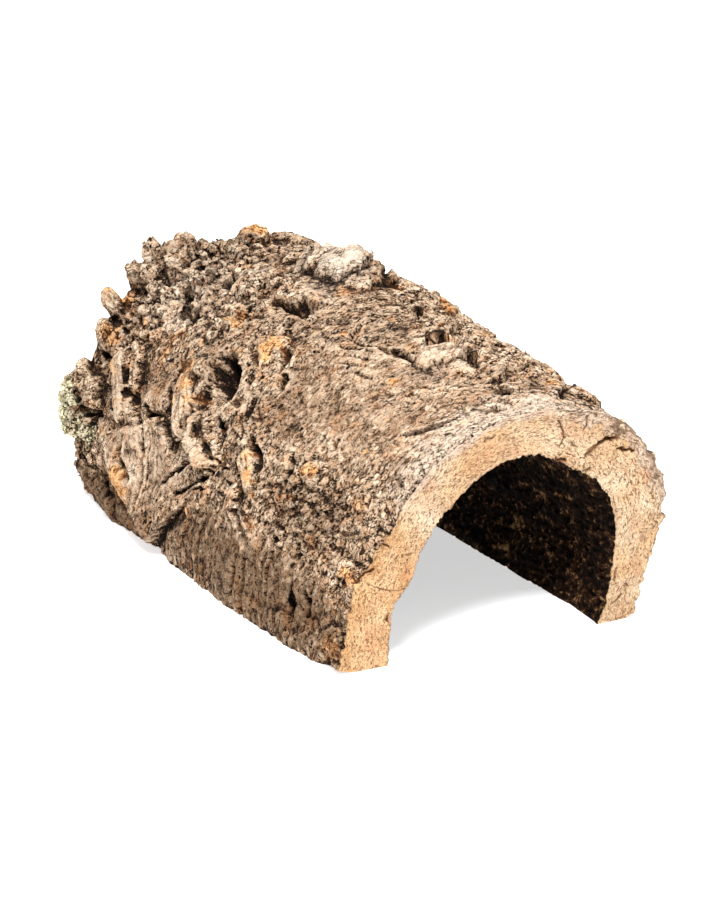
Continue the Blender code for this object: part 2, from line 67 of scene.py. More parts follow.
# Places on the bark are (mm behind the front cut, degrees)
relief = {
    # middle, reach along and around, height (below 0 a hollow), flatness of the top
    "lumps": (
        ((226, 76), (20, 14), 12.5, 2.2), ((219, 72), (14, 9), 3.0, 2.0), ((236, 80), (10, 8), 3.0, 2.2),
        ((254, 76), (14, 11), 4.5, 2.2), ((303, 80), (10, 9), 7.0, 3.0), ((300, 68), (14, 12), 4.0, 3.0),
        ((286, 88), (9, 7), 3.5, 2.0), ((306, 102.5), (12, 13), 11.5, 3.5), ((296, 93), (9, 8), 3.5, 3.0),
        ((308, 106.2), (7, 5), 7.0, 2.5), ((305, 111), (9, 6.5), 16.5, 2.6),
        ((307, 121.5), (6.5, 5.5), 15.0, 2.6), ((306, 128.5), (8, 6), 3.0, 3.0),
        ((292, 113), (8, 7), 4.0, 3.0), ((303, 130), (10, 8), 3.0, 3.0),
        ((304, 151), (22, 20), 15.5, 2.3), ((0, 13), (46, 24), -8.0, 2.0),
        ((204, 60), (15, 11), 6.5, 3.0), ((84, 59), (28, 13), 2.5, 3.0), ((32, 58), (9, 8), 3.5, 3.0),
        ((211, 67), (10, 8), 4.5, 3.0), ((235, 178), (26, 9), 4.0, 2.0), ((175, 60), (12, 9), 4.0, 3.0),
        ((268, 113), (8, 7), 3.0, 3.0), ((277, 103), (8, 7), 3.5, 3.0), ((246, 104), (8, 7), 4.0, 3.0),
        ((252, 116), (9, 7), 2.5, 3.0), ((234, 96), (11, 8), 3.0, 3.0), ((212, 108), (11, 8), 3.0, 3.0),
        ((174, 107), (11, 9), 4.0, 3.0), ((152, 104), (9, 7), 2.0, 2.0), ((196, 120), (7, 8), 5.0, 3.0),
        ((164, 129), (7, 7), 4.5, 3.0), ((74, 131), (9, 8), 3.0, 3.0), ((85, 83), (13, 11), 4.5, 2.0),
        ((55, 178), (45, 9), 2.5, 2.0), ((268, 178), (26, 10), 4.0, 2.0), ((14, 150), (10, 7), 3.0, 3.0),
        ((10, 173), (9, 9), 3.0, 3.0), ((34, 176), (22, 12), 3.0, 2.0), ((284, 44), (15, 11), 5.0, 2.0),
        ((192, 36), (12, 12), 4.5, 2.0), ((118, 50), (13, 9), 3.5, 2.0), ((66, 26), (12, 9), 4.0, 2.0),
        ((246, 13), (13, 9), 4.0, 2.0), ((152, 18), (9, 8), 3.0, 2.2),
    ),
    # path, half width, height
    "folds": (
        (((160, 124), (146, 129), (132, 134)), 8, 3.0),
        (((312, 99), (300, 92), (284, 86), (268, 84)), 7, 4.5),
        (((262, 97), (246, 92), (230, 90)), 6, 3.0),
        (((300, 52), (286, 42), (272, 34), (258, 30), (240, 32)), 13, 5.5),
        (((214, 46), (198, 38), (186, 28), (176, 16), (172, 6)), 13, 5.5),
        (((262, 18), (242, 12), (220, 14)), 10, 4.0),
        (((146, 46), (126, 42), (106, 42), (90, 48)), 10, 4.0),
        (((92, 36), (78, 26), (62, 20), (44, 22)), 11, 4.5), (((140, 26), (128, 14), (112, 8)), 9, 3.5),
    ),
    # ribbed straps of smooth bark: path, half width at its start and end, height
    "straps": (
        (((285, 130), (277, 134), (268, 138.5), (258, 143), (248, 148.5)), (8.5, 7.0), 4.5),
        (
            ((219, 122), (209, 128), (198, 133), (186, 137.5), (174, 141.5), (162, 144.5), (151, 146.5)),
            (12.0, 3.5),
            4.0,
        ),
        (((136, 136), (124, 140), (112, 146)), (6.0, 4.0), 2.5),
    ),
    # edge of a plate that lies on the left of its path, rise, run back
    "ledges": (
        (
            (
                (286, 157), (264, 159), (246, 164), (230, 169), (214, 173),
                (201, 177), (191, 177), (182, 171), (172, 165), (162, 157),
            ),
            7.0,
            30,
        ),
        (((184, 149), (196, 145), (207, 142), (220, 141), (236, 147), (254, 152)), 5.0, 20),
        (((235, 149), (243, 144), (250, 139), (258, 130), (266, 122)), 3.5, 24),
        (((179, 143), (186, 135), (192, 126), (195, 116)), 6.0, 26),
        (((188, 130), (181, 139), (171, 143), (160, 147), (150, 149)), 5.5, 22),
        (((214, 140), (219, 133), (224, 124)), 3.0, 12),
        (((104, 150), (112, 152), (118, 150), (126, 144)), 4.0, 14),
        (((92, 79), (104, 76), (118, 71), (136, 66)), 5.5, 24),
        (((56, 80), (70, 79), (84, 76), (100, 72)), 4.5, 20), (((38, 77), (48, 75), (62, 71)), 4.0, 16),
        (((16, 69), (26, 66), (38, 61)), 3.5, 16), (((146, 68), (160, 64), (174, 60)), 4.0, 20),
        (((184, 76), (200, 70), (216, 62)), 4.0, 20), (((238, 108), (250, 102), (266, 96)), 4.0, 14),
        (((262, 24), (230, 36), (196, 44)), 6.0, 26), (((150, 26), (112, 34), (70, 40)), 6.0, 26),
        (((60, 10), (34, 24), (10, 30)), 5.0, 22),
    ),
    # path, half width at the middle, depth
    "pits": (
        (((195, 116), (189, 119), (183, 123), (176, 127)), 11.0, 17.0),
        (((172, 116), (167, 119)), 4.5, 8.0), (((206, 95), (195, 93), (184, 90)), 8.0, 10.0),
        (((188, 90), (182, 98)), 5.0, 6.0), (((163, 106), (158, 109)), 4.5, 6.5),
        (((150, 111), (145, 114)), 5.5, 9.0), (((163, 133), (158, 138)), 4.5, 7.0),
        (((118, 153), (111, 155), (105, 159)), 4.2, 11.0), (((41, 84.5), (34, 82), (25, 80)), 2.6, 4.5),
        (((37, 109.5), (30, 105), (25, 101), (21, 97)), 2.6, 4.5),
        (((119, 90.5), (108, 88.5), (97, 86)), 2.4, 4.5),
        (((258, 92.5), (246, 90.5), (234, 88), (221, 86)), 3.6, 9.0),
        (((250, 69), (244, 73), (238, 78), (231, 82.5)), 4.0, 14.0),
        (((218, 63), (210, 66), (203, 70)), 2.0, 5.0), (((212, 61), (204, 64), (197, 68)), 2.0, 5.0),
        (((304, 106), (297, 108), (292, 109)), 7.0, 9.0), (((272, 107), (264, 109)), 7.0, 8.0),
        (((265, 99), (260, 102)), 5.5, 8.0), (((257, 96), (249, 99)), 5.0, 8.0),
        (((252, 110), (243, 113)), 5.0, 6.0), (((232, 99), (228, 101)), 4.5, 5.0),
        (((288, 120), (282, 122)), 5.0, 7.0), (((299, 113), (296, 117)), 4.0, 6.0),
        (((309, 110), (302, 112)), 5.0, 10.0), (((302, 134), (294, 136), (286, 137)), 4.0, 7.0),
        (((290, 126), (285, 128)), 4.0, 5.0), (((296, 147), (288, 151), (280, 152)), 6.0, 9.0),
        (((256, 139), (247, 142), (238, 147)), 3.5, 6.0),
        (((237, 141), (229, 143), (224, 141)), 7.0, 8.0),
        (((195, 159.5), (186, 154), (174, 148.5)), 2.6, 6.0),
        (((178, 159), (166, 154), (152, 148.5)), 2.6, 6.0),
        (((167, 158), (158, 154), (147, 151)), 1.5, 2.5),
        (((156, 121), (151, 125), (146, 128)), 4.0, 6.0),
        (((132, 132), (122, 135), (110, 141)), 4.5, 4.5), (((96, 129), (92, 133), (90, 137)), 3.5, 5.0),
        (((92, 171), (92, 180)), 4.0, 6.0), (((59, 153), (55, 158), (50, 164), (45, 175)), 4.0, 5.5),
        (((242, 152), (243, 158), (233, 162), (226, 163)), 5.0, 6.0),
        (((222, 151), (217, 160), (213, 170)), 3.0, 4.0), (((113, 79), (105, 77), (96, 75)), 5.0, 9.0),
        (((92, 77), (84, 77.5)), 2.5, 4.0), (((75, 79), (68, 79.5), (62, 80.5)), 4.5, 8.0),
        (((186, 66), (174, 66), (160, 68)), 4.0, 6.0), (((222, 132), (212, 137)), 3.0, 4.0),
        (((250, 22), (238, 30), (224, 34)), 6.0, 7.0), (((146, 34), (130, 26), (118, 18)), 5.0, 7.0),
        (((50, 40), (42, 30), (40, 16)), 5.0, 6.0), (((300, 30), (290, 18)), 5.0, 6.0),
        (((208, 8), (198, 16)), 5.0, 6.0),
    ),
    # middle, reach along and around, height of the small lumps there
    "roughGround": (
        ((285, 106), (46, 50), 3.4), ((225, 100), (35, 25), 2.2), ((60, 142), (60, 24), 2.0),
        ((110, 66), (110, 20), 2.2), ((250, 66), (50, 22), 2.4), ((300, 172), (40, 26), 2.2),
        ((150, 20), (170, 44), 3.2), ((302, 152), (18, 18), 3.2),
    ),
    # how far both edges of the front cut stand off the plain section, as (degrees, mm)
    "frontOutside": (
        (180, 3), (175, 1.5), (170, -0.3), (165, 0), (160, -0.8), (156, 1), (150, 0), (147, -3),
        (143, -2.5), (140, -2.5), (137, -4.5), (133, -4.5), (129, -4.5), (125, -1.5), (120, -1), (115, 0),
        (105, 0.5), (95, 0.5), (90, 1), (85, 0), (80, 0), (75, -1), (70, -2), (65, -1), (60, 0),
        (55, 1.5), (50, 0.5), (45, 0.3), (40, 0.3), (35, 0.3), (32, -1), (30, -4.5), (27, -3), (24, -4),
        (20, -6), (15, -6.5), (12, -5), (9, -3.5), (5, -2), (2, 0), (0, 1),
    ),
    "frontInside": (
        (180, -0.5), (175, -1), (170, -0.5), (165, 0), (160, 1.6), (155, 2.2), (151, 0), (148, -1.2),
        (145, -2), (140, -2.4), (135, -2), (130, -1), (120, -0.3), (115, 0.5), (110, 0), (105, -1),
        (100, -1), (95, -0.5), (90, 1), (80, 1.8), (75, 1.3), (70, 0.4), (65, 1), (60, 1.5), (55, 2),
        (50, 3), (45, 4), (40, 3), (35, 2), (30, 0), (25, -1.3), (20, -3), (15, -2), (10, -2.5), (5, -2),
        (0, -2.5),
    ),
    "keel": 3.5,  # the feet reach this far below the line of the section
}

# Detail that only the eye needs: small pits, cracks and calm places
detail = {
    # path, half width at the middle, depth
    "smallPits": (
        (((85, 119), (83, 123)), 2.2, 4.0), (((80, 120), (79, 124)), 1.8, 3.5),
        (((74, 118), (73, 122)), 2.2, 4.5), (((68, 119), (67, 121)), 1.8, 3.5),
        (((18, 88), (12, 86)), 2.0, 3.5), (((16, 77), (11, 75.5)), 1.6, 3.0),
        (((65, 92.5), (58, 91), (53, 89.5)), 1.8, 3.0), (((146, 74), (140, 73)), 2.2, 3.5),
        (((150, 98), (145, 101)), 1.8, 3.5), (((31, 112), (31, 115)), 1.8, 3.0),
        (((35, 120), (33, 123)), 2.0, 3.0), (((40, 132), (38, 136)), 2.2, 3.5),
        (((24, 128), (22, 132)), 2.0, 3.0), (((60, 100), (56, 99)), 1.6, 2.5),
        (((196, 164), (194, 171)), 1.6, 4.0), (((128, 144), (130, 150)), 1.8, 4.5),
        (((228, 94), (224, 93)), 2.0, 3.5), (((38, 163), (34, 170)), 2.6, 4.5),
        (((122, 154), (116, 158)), 1.8, 3.0), (((268, 156), (270, 166), (262, 175)), 2.0, 4.0),
        (((244, 170), (244, 176)), 1.8, 3.5), (((257, 112), (250, 114)), 2.4, 4.0),
        (((150, 88), (140, 92)), 1.8, 3.0), (((262, 146), (256, 149)), 1.8, 3.0),
        (((160, 136), (153, 138)), 2.0, 3.5), (((166, 131), (160, 135)), 3.0, 5.0),
        (((104, 72), (98, 75)), 2.4, 4.0), (((46, 73), (40, 75)), 2.2, 3.5),
        (((56, 146), (54, 155), (51, 163)), 2.4, 5.0), (((52, 161), (49, 170), (47, 177)), 1.8, 3.5),
        (((104, 168), (103, 174), (101, 180)), 2.6, 4.5), (((72, 158), (70, 168), (69, 178)), 1.4, 2.4),
        (((36, 155), (34, 164), (33, 174)), 1.5, 2.6), (((128, 160), (126, 168), (124, 176)), 1.3, 2.2),
        (((21, 146), (18, 152), (16, 160)), 2.2, 3.5), (((102, 81), (92, 81), (81, 79.2)), 4.6, 5.0),
        (((86, 74.8), (74, 77), (66, 78.5)), 2.6, 3.5), (((33, 108.5), (28, 104.5), (22, 101)), 2.5, 3.5),
        (((31, 84.5), (28, 81.5), (27, 79)), 3.0, 4.2), (((13, 89.8), (13, 87.6)), 3.0, 3.8),
        (((112, 88.4), (101, 88.9), (90, 88.3)), 3.0, 4.0), (((19, 69.3), (26, 63.4)), 2.4, 3.2),
        (((10, 79), (9, 77)), 2.4, 3.0), (((55, 94), (51, 92.4), (47, 90.8)), 2.0, 2.5),
    ),
    # middle, reach along and around, how calm (1 is quite smooth)
    "calm": (
        ((218, 157), (56, 34), 0.9), ((80, 105), (90, 60), 0.6), ((75, 166), (125, 36), 0.6),
        ((250, 176), (70, 16), 0.5), ((232, 134), (20, 16), 0.6), ((8, 95), (16, 90), 0.45),
        ((224, 76), (22, 15), 0.6), ((85, 84), (12, 11), 0.7), ((205, 86), (16, 8), 0.5),
        ((306, 102.5), (12, 12), 0.5), ((306, 111), (8, 6), 0.5), ((307, 121.5), (7, 6), 0.7),
    ),
    # middle, reach along and around, share of the walls' upright ridges that is missing
    "noRidges": (
        ((222, 156), (62, 36), 1.0), ((290, 150), (30, 26), 0.8),
    ),
    # curved hairline grooves: path, half width, depth
    "grooves": (
        (((142, 92.5), (130, 92), (118, 90.5)), 0.9, 1.6), (((138, 95), (126, 94), (113, 92)), 0.8, 1.2),
        (((132, 98), (120, 96.5), (108, 94)), 0.8, 1.2), (((127, 100.5), (113, 99), (101, 96)), 0.8, 1.2),
        (((119, 103), (107, 101), (96, 99)), 0.8, 1.0), (((74, 103), (66, 99), (60, 94)), 0.9, 1.4),
        (((218, 143), (214, 152), (210, 164), (208, 172)), 1.0, 1.6),
        (((223, 145), (219, 153), (215, 163)), 0.9, 1.3),
        (((205, 143), (203, 152), (200, 163)), 0.9, 1.0),
        (((211, 138.5), (196, 140.8), (184, 142.5), (172, 145), (158, 147), (149, 147.5)), 1.3, 3.0),
        (((176, 131), (175, 137), (161, 141), (149, 143.5), (139, 143)), 1.1, 2.5),
        (((290, 138), (272, 146), (258, 152)), 1.2, 2.5),
        (((266, 133.5), (256, 140), (247, 145)), 1.2, 2.5),
        (((262, 131), (256, 137), (247, 140)), 1.1, 2.0),
        (((266, 130), (261, 137), (252, 142)), 1.0, 1.6),
        (((196, 130), (187, 136), (176, 141)), 1.1, 2.0),
        (((188, 128), (180, 133), (170, 138)), 1.0, 1.6),
        (((150, 128), (140, 133), (128, 140)), 1.1, 1.8),
        (((118, 151), (113, 154), (108, 157)), 1.0, 2.2),
    ),
}

# Colour patches: middle, reach along and around, strength
tint = {
    "fresh": (
        ((173, 107), (10, 11), 1.0), ((212, 106), (9, 8), 0.8), ((190, 82), (8, 6), 0.7),
        ((302, 79), (10, 9), 1.0), ((306, 118), (6, 6), 0.9), ((296, 129), (8, 7), 0.7),
        ((279, 136), (9, 5), 0.6), ((244, 122), (6, 12), 0.6), ((216, 124), (10, 6), 0.7),
        ((204, 128), (10, 5), 0.8), ((192, 131), (8, 4), 0.6), ((240, 164), (9, 7), 1.0),
        ((230, 167), (9, 6), 1.0), ((223, 171), (5, 5), 0.9), ((76, 131), (8, 7), 0.9),
        ((80, 141), (5, 5), 0.8), ((127, 137), (7, 5), 0.7), ((118, 142), (9, 5), 0.9),
        ((108, 146), (6, 4), 0.7), ((97, 153), (7, 4), 0.7), ((83, 97), (5, 3), 0.9),
        ((148, 93), (4, 3), 0.8), ((14, 97), (3, 6), 0.9), ((29, 133), (4, 4), 0.8),
        ((8, 152), (9, 7), 0.85), ((8, 175), (10, 8), 0.8), ((262, 92), (9, 7), 0.5),
        ((230, 62), (8, 6), 0.7), ((168, 60), (12, 3), 0.9), ((150, 62), (9, 3), 0.8),
        ((200, 66), (8, 3), 0.7), ((36, 66), (7, 4), 0.7), ((140, 30), (9, 8), 0.8),
        ((246, 36), (11, 7), 0.8), ((64, 18), (8, 7), 0.8), ((205, 12), (9, 7), 0.7),
    ),
    "bleached": (
        ((0, 92), (34, 88), 0.75), ((216, 77), (24, 14), 1.0), ((236, 82), (10, 7), 0.5),
        ((205, 84), (20, 10), 0.5), ((214, 155), (42, 26), 0.2), ((75, 86), (22, 16), 0.35),
        ((268, 104), (50, 44), 0.3),
    ),
    # Darker patches: painted shade in pits and slits and behind the lichen lump, and the lower walls by
    # the feet darker, partly grime and partly painted shade
    "shadeAndGrime": (
        ((60, 142), (56, 26), 0.45), ((255, 176), (80, 20), 0.95), ((80, 170), (150, 34), 0.95),
        ((291, 150), (9, 14), 0.8), ((120, 8), (200, 30), 0.6), ((207, 67), (12, 6), 1.0),
        ((130, 82), (9, 6), 0.5), ((30, 82), (5, 9), 1.0), ((14, 88.7), (4.5, 5), 1.0),
        ((23, 66), (5, 5), 0.9), ((28, 104.5), (4.5, 9), 0.9), ((101, 88.7), (5, 5), 0.9),
    ),
    "lichen": (
        ((306, 154), (18, 22), 1.0), ((290, 159), (11, 9), 0.8),
    ),
}


def smoothStep(x):
    x = np.clip(x, 0.0, 1.0)
    return x * x * (3.0 - 2.0 * x)


def between(value, low, lowRun, high, highRun):  # 1 between low and high, soft for a run inside each
    return smoothStep((value - low) / lowRun) * smoothStep((high - value) / highRun)


def offEnds(value, length, run):  # 0 at both ends of the length, 1 from a run inside them
    return smoothStep(np.minimum(value, length - value) / run)


def spline(rows, place):  # a smooth curve through the rows, read at places from 0 to their number less 1
    rows = np.asarray(rows, float)
    rows = np.concatenate([2 * rows[:1] - rows[1:2], rows, 2 * rows[-1:] - rows[-2:-1]])
    index = np.clip(np.floor(place).astype(int), 0, len(rows) - 4)
    part = place - index
    part = part.reshape(part.shape + (1,) * (rows.ndim - 1))
    a, b, c, d = (rows[index + k] for k in range(4))
    cubic = (3 * b - a - 3 * c + d) * part**3
    return 0.5 * (2 * b + (c - a) * part + (2 * a - 5 * b + 4 * c - d) * part**2 + cubic)


def hashUnit(i, j, k, seed):
    h = (i * 374761393 + j * 668265263 + k * 1440662683 + seed * 974634777) & 0xFFFFFFFF
    h = ((h ^ (h >> 13)) * 1274126177) & 0xFFFFFFFF
    return ((h ^ (h >> 16)) & 0xFFFFFFFF) / 4294967295.0


def fade(u):
    return u**3 * (u * (u * 6 - 15) + 10)


# Between about -1 and 1, one bump to a unit; each seed gives a pattern of its own
def softNoise(x, y, seed):
    i, j = np.floor(x).astype(np.int64), np.floor(y).astype(np.int64)
    u, v = x - i, y - j

    def corner(di, dj):
        turn = 2 * math.pi * hashUnit(i + di, j + dj, 0, seed)
        return np.cos(turn) * (u - di) + np.sin(turn) * (v - dj)

    low = corner(0, 0) * (1 - fade(u)) + corner(1, 0) * fade(u)
    high = corner(0, 1) * (1 - fade(u)) + corner(1, 1) * fade(u)
    return 1.5 * (low * (1 - fade(v)) + high * fade(v))


def solidNoise(place, sizes, seed):  # the same in three directions
    x, y, z = (part / size for part, size in zip(place, sizes))
    i, j, k = (np.floor(part).astype(np.int64) for part in (x, y, z))
    u, v, w = x - i, y - j, z - k
    total = 0
    for di in (0, 1):
        for dj in (0, 1):
            for dk in (0, 1):
                turn = 2 * math.pi * hashUnit(i + di, j + dj, k + dk, seed)
                up = 2 * hashUnit(i + di, j + dj, k + dk, seed + 1) - 1
                flat = np.sqrt(1 - up * up)
                slope = flat * (np.cos(turn) * (u - di) + np.sin(turn) * (v - dj)) + up * (w - dk)
                share = (fade(u) if di else 1 - fade(u)) * (fade(v) if dj else 1 - fade(v))
                total = total + share * (fade(w) if dk else 1 - fade(w)) * slope
    return 1.7 * total


def solidClouds(place, sizes, seed, octaves=3):
    total, weight = 0, 1.0
    for octave in range(octaves):
        finer = [size / 2.1**octave for size in sizes]
        total = total + weight * solidNoise(place, finer, seed + 7 * octave)
        weight *= 0.5
    return total


def thinLines(value, wide):  # 1 where the noise crosses 0, on lines of that width
    return smoothStep(1 - np.abs(value) / wide)


# Nearest and second nearest of scattered points, a number of the nearest's own and the way to it
def cells(place, sizes, seed):
    x, y, z = (part / size for part, size in zip(place, sizes))
    i, j, k = (np.floor(part).astype(np.int64) for part in (x, y, z))
    nearest, second = np.full(x.shape, 9.0), np.full(x.shape, 9.0)
    own, wayX, wayY = np.zeros(x.shape), np.zeros(x.shape), np.zeros(x.shape)
    for di in (-1, 0, 1):
        for dj in (-1, 0, 1):
            for dk in (-1, 0, 1):
                a, b, c = i + di, j + dj, k + dk
                first = hashUnit(a, b, c, seed)
                gapX = x - a - 0.15 - 0.7 * first
                gapY = y - b - 0.15 - 0.7 * ((first * 641.3) % 1)
                gapZ = z - c - 0.15 - 0.7 * ((first * 7919.7) % 1)
                distance = gapX * gapX + gapY * gapY + gapZ * gapZ
                closer = distance < nearest
                second = np.minimum(second, np.maximum(nearest, distance))
                nearest = np.where(closer, distance, nearest)
                own = np.where(closer, (first * 104729.9) % 1, own)
                wayX, wayY = np.where(closer, gapX, wayX), np.where(closer, gapY, wayY)
    return np.sqrt(nearest), np.sqrt(second), own, wayX, wayY


def flatCells(x, y, seed):
    i, j = np.floor(x).astype(np.int64), np.floor(y).astype(np.int64)
    nearest, second = np.full(x.shape, 9.0), np.full(x.shape, 9.0)
    for di in (-1, 0, 1):
        for dj in (-1, 0, 1):
            gapX = x - i - di - 0.15 - 0.7 * hashUnit(i + di, j + dj, 0, seed)
            gapY = y - j - dj - 0.15 - 0.7 * hashUnit(i + di, j + dj, 0, seed + 1)
            distance = np.hypot(gapX, gapY)
            second = np.minimum(second, np.maximum(nearest, distance))
            nearest = np.minimum(nearest, distance)
    return nearest, second


# Small plates, each tilted its own way, so that their edges stand as little steps
def tiltedPlates(place, sizes, seed):
    gap = 0.14  # width of the gaps between them, as a share of their size
    nearest, second, own, wayX, wayY = cells(place, sizes, seed)
    turn = 2 * math.pi * own
    tilt = (np.cos(turn) + 0.4) * wayX + (np.sin(turn) + 0.5) * wayY
    return tilt + 0.5 * (own - 0.5) - 0.45 * smoothStep(1 - (second - nearest) / gap), own


# Thin layers that end in ragged steps, like torn paper
def tornLayers(place, sizes, seed, layers):
    level = layers * solidClouds(place, sizes, seed, 4)
    part = level - np.floor(level)
    return smoothStep(part / 0.14) - part - 0.45


def scatteredPits(place, sizes, seed, share):
    nearest, _, own = cells(place, sizes, seed)[:3]
    wide = 0.16 + 0.26 * ((own * 97.3) % 1)
    return np.where(own < share, smoothStep(1.6 * (1 - nearest / wide)), 0.0)


def blur(field, reach):  # a soft mean over about reach grid steps each way
    for axis in (0, 1):
        for _ in range(3):
            pad = [(0, 0), (0, 0)]
            pad[axis] = (reach + 1, reach)
            total = np.cumsum(np.pad(field, pad, mode="edge"), axis=axis)
            top = np.take(total, range(2 * reach + 1, total.shape[axis]), axis=axis)
            low = np.take(total, range(0, total.shape[axis] - 2 * reach - 1), axis=axis)
            field = (top - low) / (2 * reach + 1)
    return field


# Each point of the bark in mm, s along it from the front and t around it from the right foot
def fillGrid(s, t):
    # The same places wavering, for paths that waver as torn edges do
    ws, wt = s, t
    for amount, size, seedS, seedT in ((2.2, 13, 11, 13), (0.9, 5, 12, 14), (0.5, 2.3, 15, 16)):
        ws = ws + amount * softNoise(s / size, t / size, seedS)
        wt = wt + amount * softNoise(s / size, t / size, seedT)
    return {
        "s": s,
        "t": t,
        "ws": ws,
        "wt": wt,
        "degrees": t / tube["mmPerDegree"],
        "columnSpan": (s.min(0), s.max(0)),
        "rowSpan": (t.min(1), t.max(1)),
    }


def makeGrid():
    along = np.linspace(0, tube["length"], tube["columns"] + 1)
    around = np.linspace(180 * tube["mmPerDegree"], 0, tube["rows"] + 1)
    return fillGrid(*np.meshgrid(along, around))


# Moves the grid lines together on steep ground, so that its cells are as large there as elsewhere
def crowdLines(grid, height):
    high = height * 1.1  # a little extra, for the detail that comes on top
    slopeT = np.gradient(high, axis=0) / np.gradient(grid["t"], axis=0)
    slopeS = np.gradient(high, axis=1) / np.gradient(grid["s"], axis=1)
    moved = []
    for lines, slope in ((grid["t"].T, slopeT.T), (grid["s"], slopeS)):
        dense = blur(np.sqrt(1 + np.minimum(slope**2, 9.0)), 2)
        run = np.cumsum(0.5 * (dense[:, 1:] + dense[:, :-1]), axis=1)
        run = np.concatenate([np.zeros((len(run), 1)), run], axis=1)
        even = np.linspace(0, 1, lines.shape[1])
        new = np.stack([np.interp(even, row / row[-1], line) for row, line in zip(run, lines)])
        shift = blur(new - lines, 2)
        shift[:, 0], shift[:, -1] = 0, 0
        moved.append(lines + shift)
    return fillGrid(moved[1], moved[0].T)


def pathPoints(path):
    return np.array([(place, angle * tube["mmPerDegree"]) for place, angle in path], float)


# The part of the grid that lies within reach of some points
def windowOf(grid, points, reach):
    low, high = points.min(0) - reach - 5, points.max(0) + reach + 5
    columns = np.nonzero((grid["columnSpan"][1] >= low[0]) & (grid["columnSpan"][0] <= high[0]))[0]
    rows = np.nonzero((grid["rowSpan"][1] >= low[1]) & (grid["rowSpan"][0] <= high[1]))[0]
    if len(columns) == 0 or len(rows) == 0:
        return slice(0, 0), slice(0, 0)
    return slice(rows[0], rows[-1] + 1), slice(columns[0], columns[-1] + 1)


# Distance from a smooth path, its side (left is +1) and how far along it
def follow(points, s, t):
    steps = 6 * (len(points) - 1)
    line = spline(points, np.linspace(0, len(points) - 1, steps + 1))
    best = np.full(s.shape, 1e9)
    side, share = np.ones(s.shape), np.zeros(s.shape)
    for k in range(steps):
        (s0, t0), (ds, dt) = line[k], line[k + 1] - line[k]
        along = np.clip(((s - s0) * ds + (t - t0) * dt) / (ds * ds + dt * dt), 0, 1)
        gapS, gapT = s - s0 - along * ds, t - t0 - along * dt
        distance = np.hypot(gapS, gapT)
        closer = distance < best
        best = np.where(closer, distance, best)
        side = np.where(closer, np.sign(ds * gapT - dt * gapS), side)
        share = np.where(closer, (k + along) / steps, share)
    return best, side, share


# The part of the grid near a path, and there what follow says
def nearPath(grid, path, reach):
    points = pathPoints(path)
    window = windowOf(grid, points, reach)
    return window, *follow(points, grid["ws"][window], grid["wt"][window])


# The part of the grid near a place, and there the way from it along and around
def nearPlace(grid, place, angle, reach):
    middle = pathPoints([(place, angle)])
    window = windowOf(grid, middle, reach)
    return window, grid["ws"][window] - middle[0, 0], grid["wt"][window] - middle[0, 1]


def addLump(height, grid, lump):
    (place, angle), (reachS, reachT), rise, flatness = lump
    window, gapS, gapT = nearPlace(grid, place, angle, 1.35 * max(reachS, reachT))
    uneven = 1 + 0.28 * softNoise(gapS / 9 + place, gapT / 9, 17)
    distance = np.hypot(gapS / reachS, gapT / reachT) * uneven
    height[window] += rise * np.sqrt(np.clip(1 - distance**flatness, 0, 1))


def addFold(height, grid, fold):
    path, halfWidth, rise = fold
    window, distance, _, share = nearPath(grid, path, halfWidth)
    taper = smoothStep(4 * share + 0.3) * smoothStep(4 * (1 - share) + 0.3)
    height[window] += rise * taper * np.sqrt(np.clip(1 - (distance / halfWidth) ** 2, 0, 1))


def addLedge(height, grid, ledge):
    path, rise, run = ledge
    window, distance, side, share = nearPath(grid, path, run)
    taper = smoothStep(6 * share) * smoothStep(6 * (1 - share))
    plate = smoothStep(1 - distance / run) * smoothStep(distance / 1.5)
    gutter = -0.35 * smoothStep(1 - distance / 9.0)
    height[window] += rise * taper * np.where(side > 0, plate, gutter)


# Its ribs run along it; the mask says where the strap covers the rest
def addStrap(height, ribs, mask, grid, strap):
    path, (startWidth, endWidth), rise = strap
    points = pathPoints(path)
    window = windowOf(grid, points, startWidth)
    s, t = grid["s"][window], grid["t"][window]
    s = s + 0.3 * (grid["ws"][window] - s)  # it wavers less than the other forms
    t = t + 0.3 * (grid["wt"][window] - t)
    distance, side, share = follow(points, s, t)
    across = distance / (startWidth + (endWidth - startWidth) * share)
    taper = smoothStep(5 * share) * smoothStep(9 * (1 - share))
    height[window] += rise * taper * np.sqrt(np.clip(1 - across**4, 0, 1))
    cover = taper * smoothStep(5 * (1.05 - across))
    waver = 0.5 * softNoise(7 * share, 0 * share + startWidth, 71)
    rib = np.abs(np.sin(1.5 * np.pi * side * across * (0.7 + startWidth / 12) + waver))
    ribs[window] -= cover * smoothStep(1 - rib / 0.5)
    mask[window] = np.maximum(mask[window], cover)


def addPit(height, grid, pit):
    path, halfWidth, depth = pit
    window, distance, _, share = nearPath(grid, path, halfWidth)
    narrow = halfWidth * (0.45 + 0.55 * np.sin(np.pi * np.clip(share, 0.08, 0.92)))
    height[window] -= depth * smoothStep(1.25 * (1 - distance / narrow))


# The strength of some patches at each point of the grid; edge says how ragged their outlines are
def zones(grid, patches, edge=0.0):
    value = np.zeros(grid["s"].shape)
    for (place, angle), (reachS, reachT), amount in patches:
        window, gapS, gapT = nearPlace(grid, place, angle, 1.3 * max(reachS, reachT))
        distance = np.hypot(gapS / reachS, gapT / reachT)
        if edge:
            distance = distance + edge * softNoise(gapS / 4 + place, gapT / 4 + angle, 77)
        value[window] = np.maximum(value[window], amount * smoothStep(1.6 * (1 - distance)))
    return value


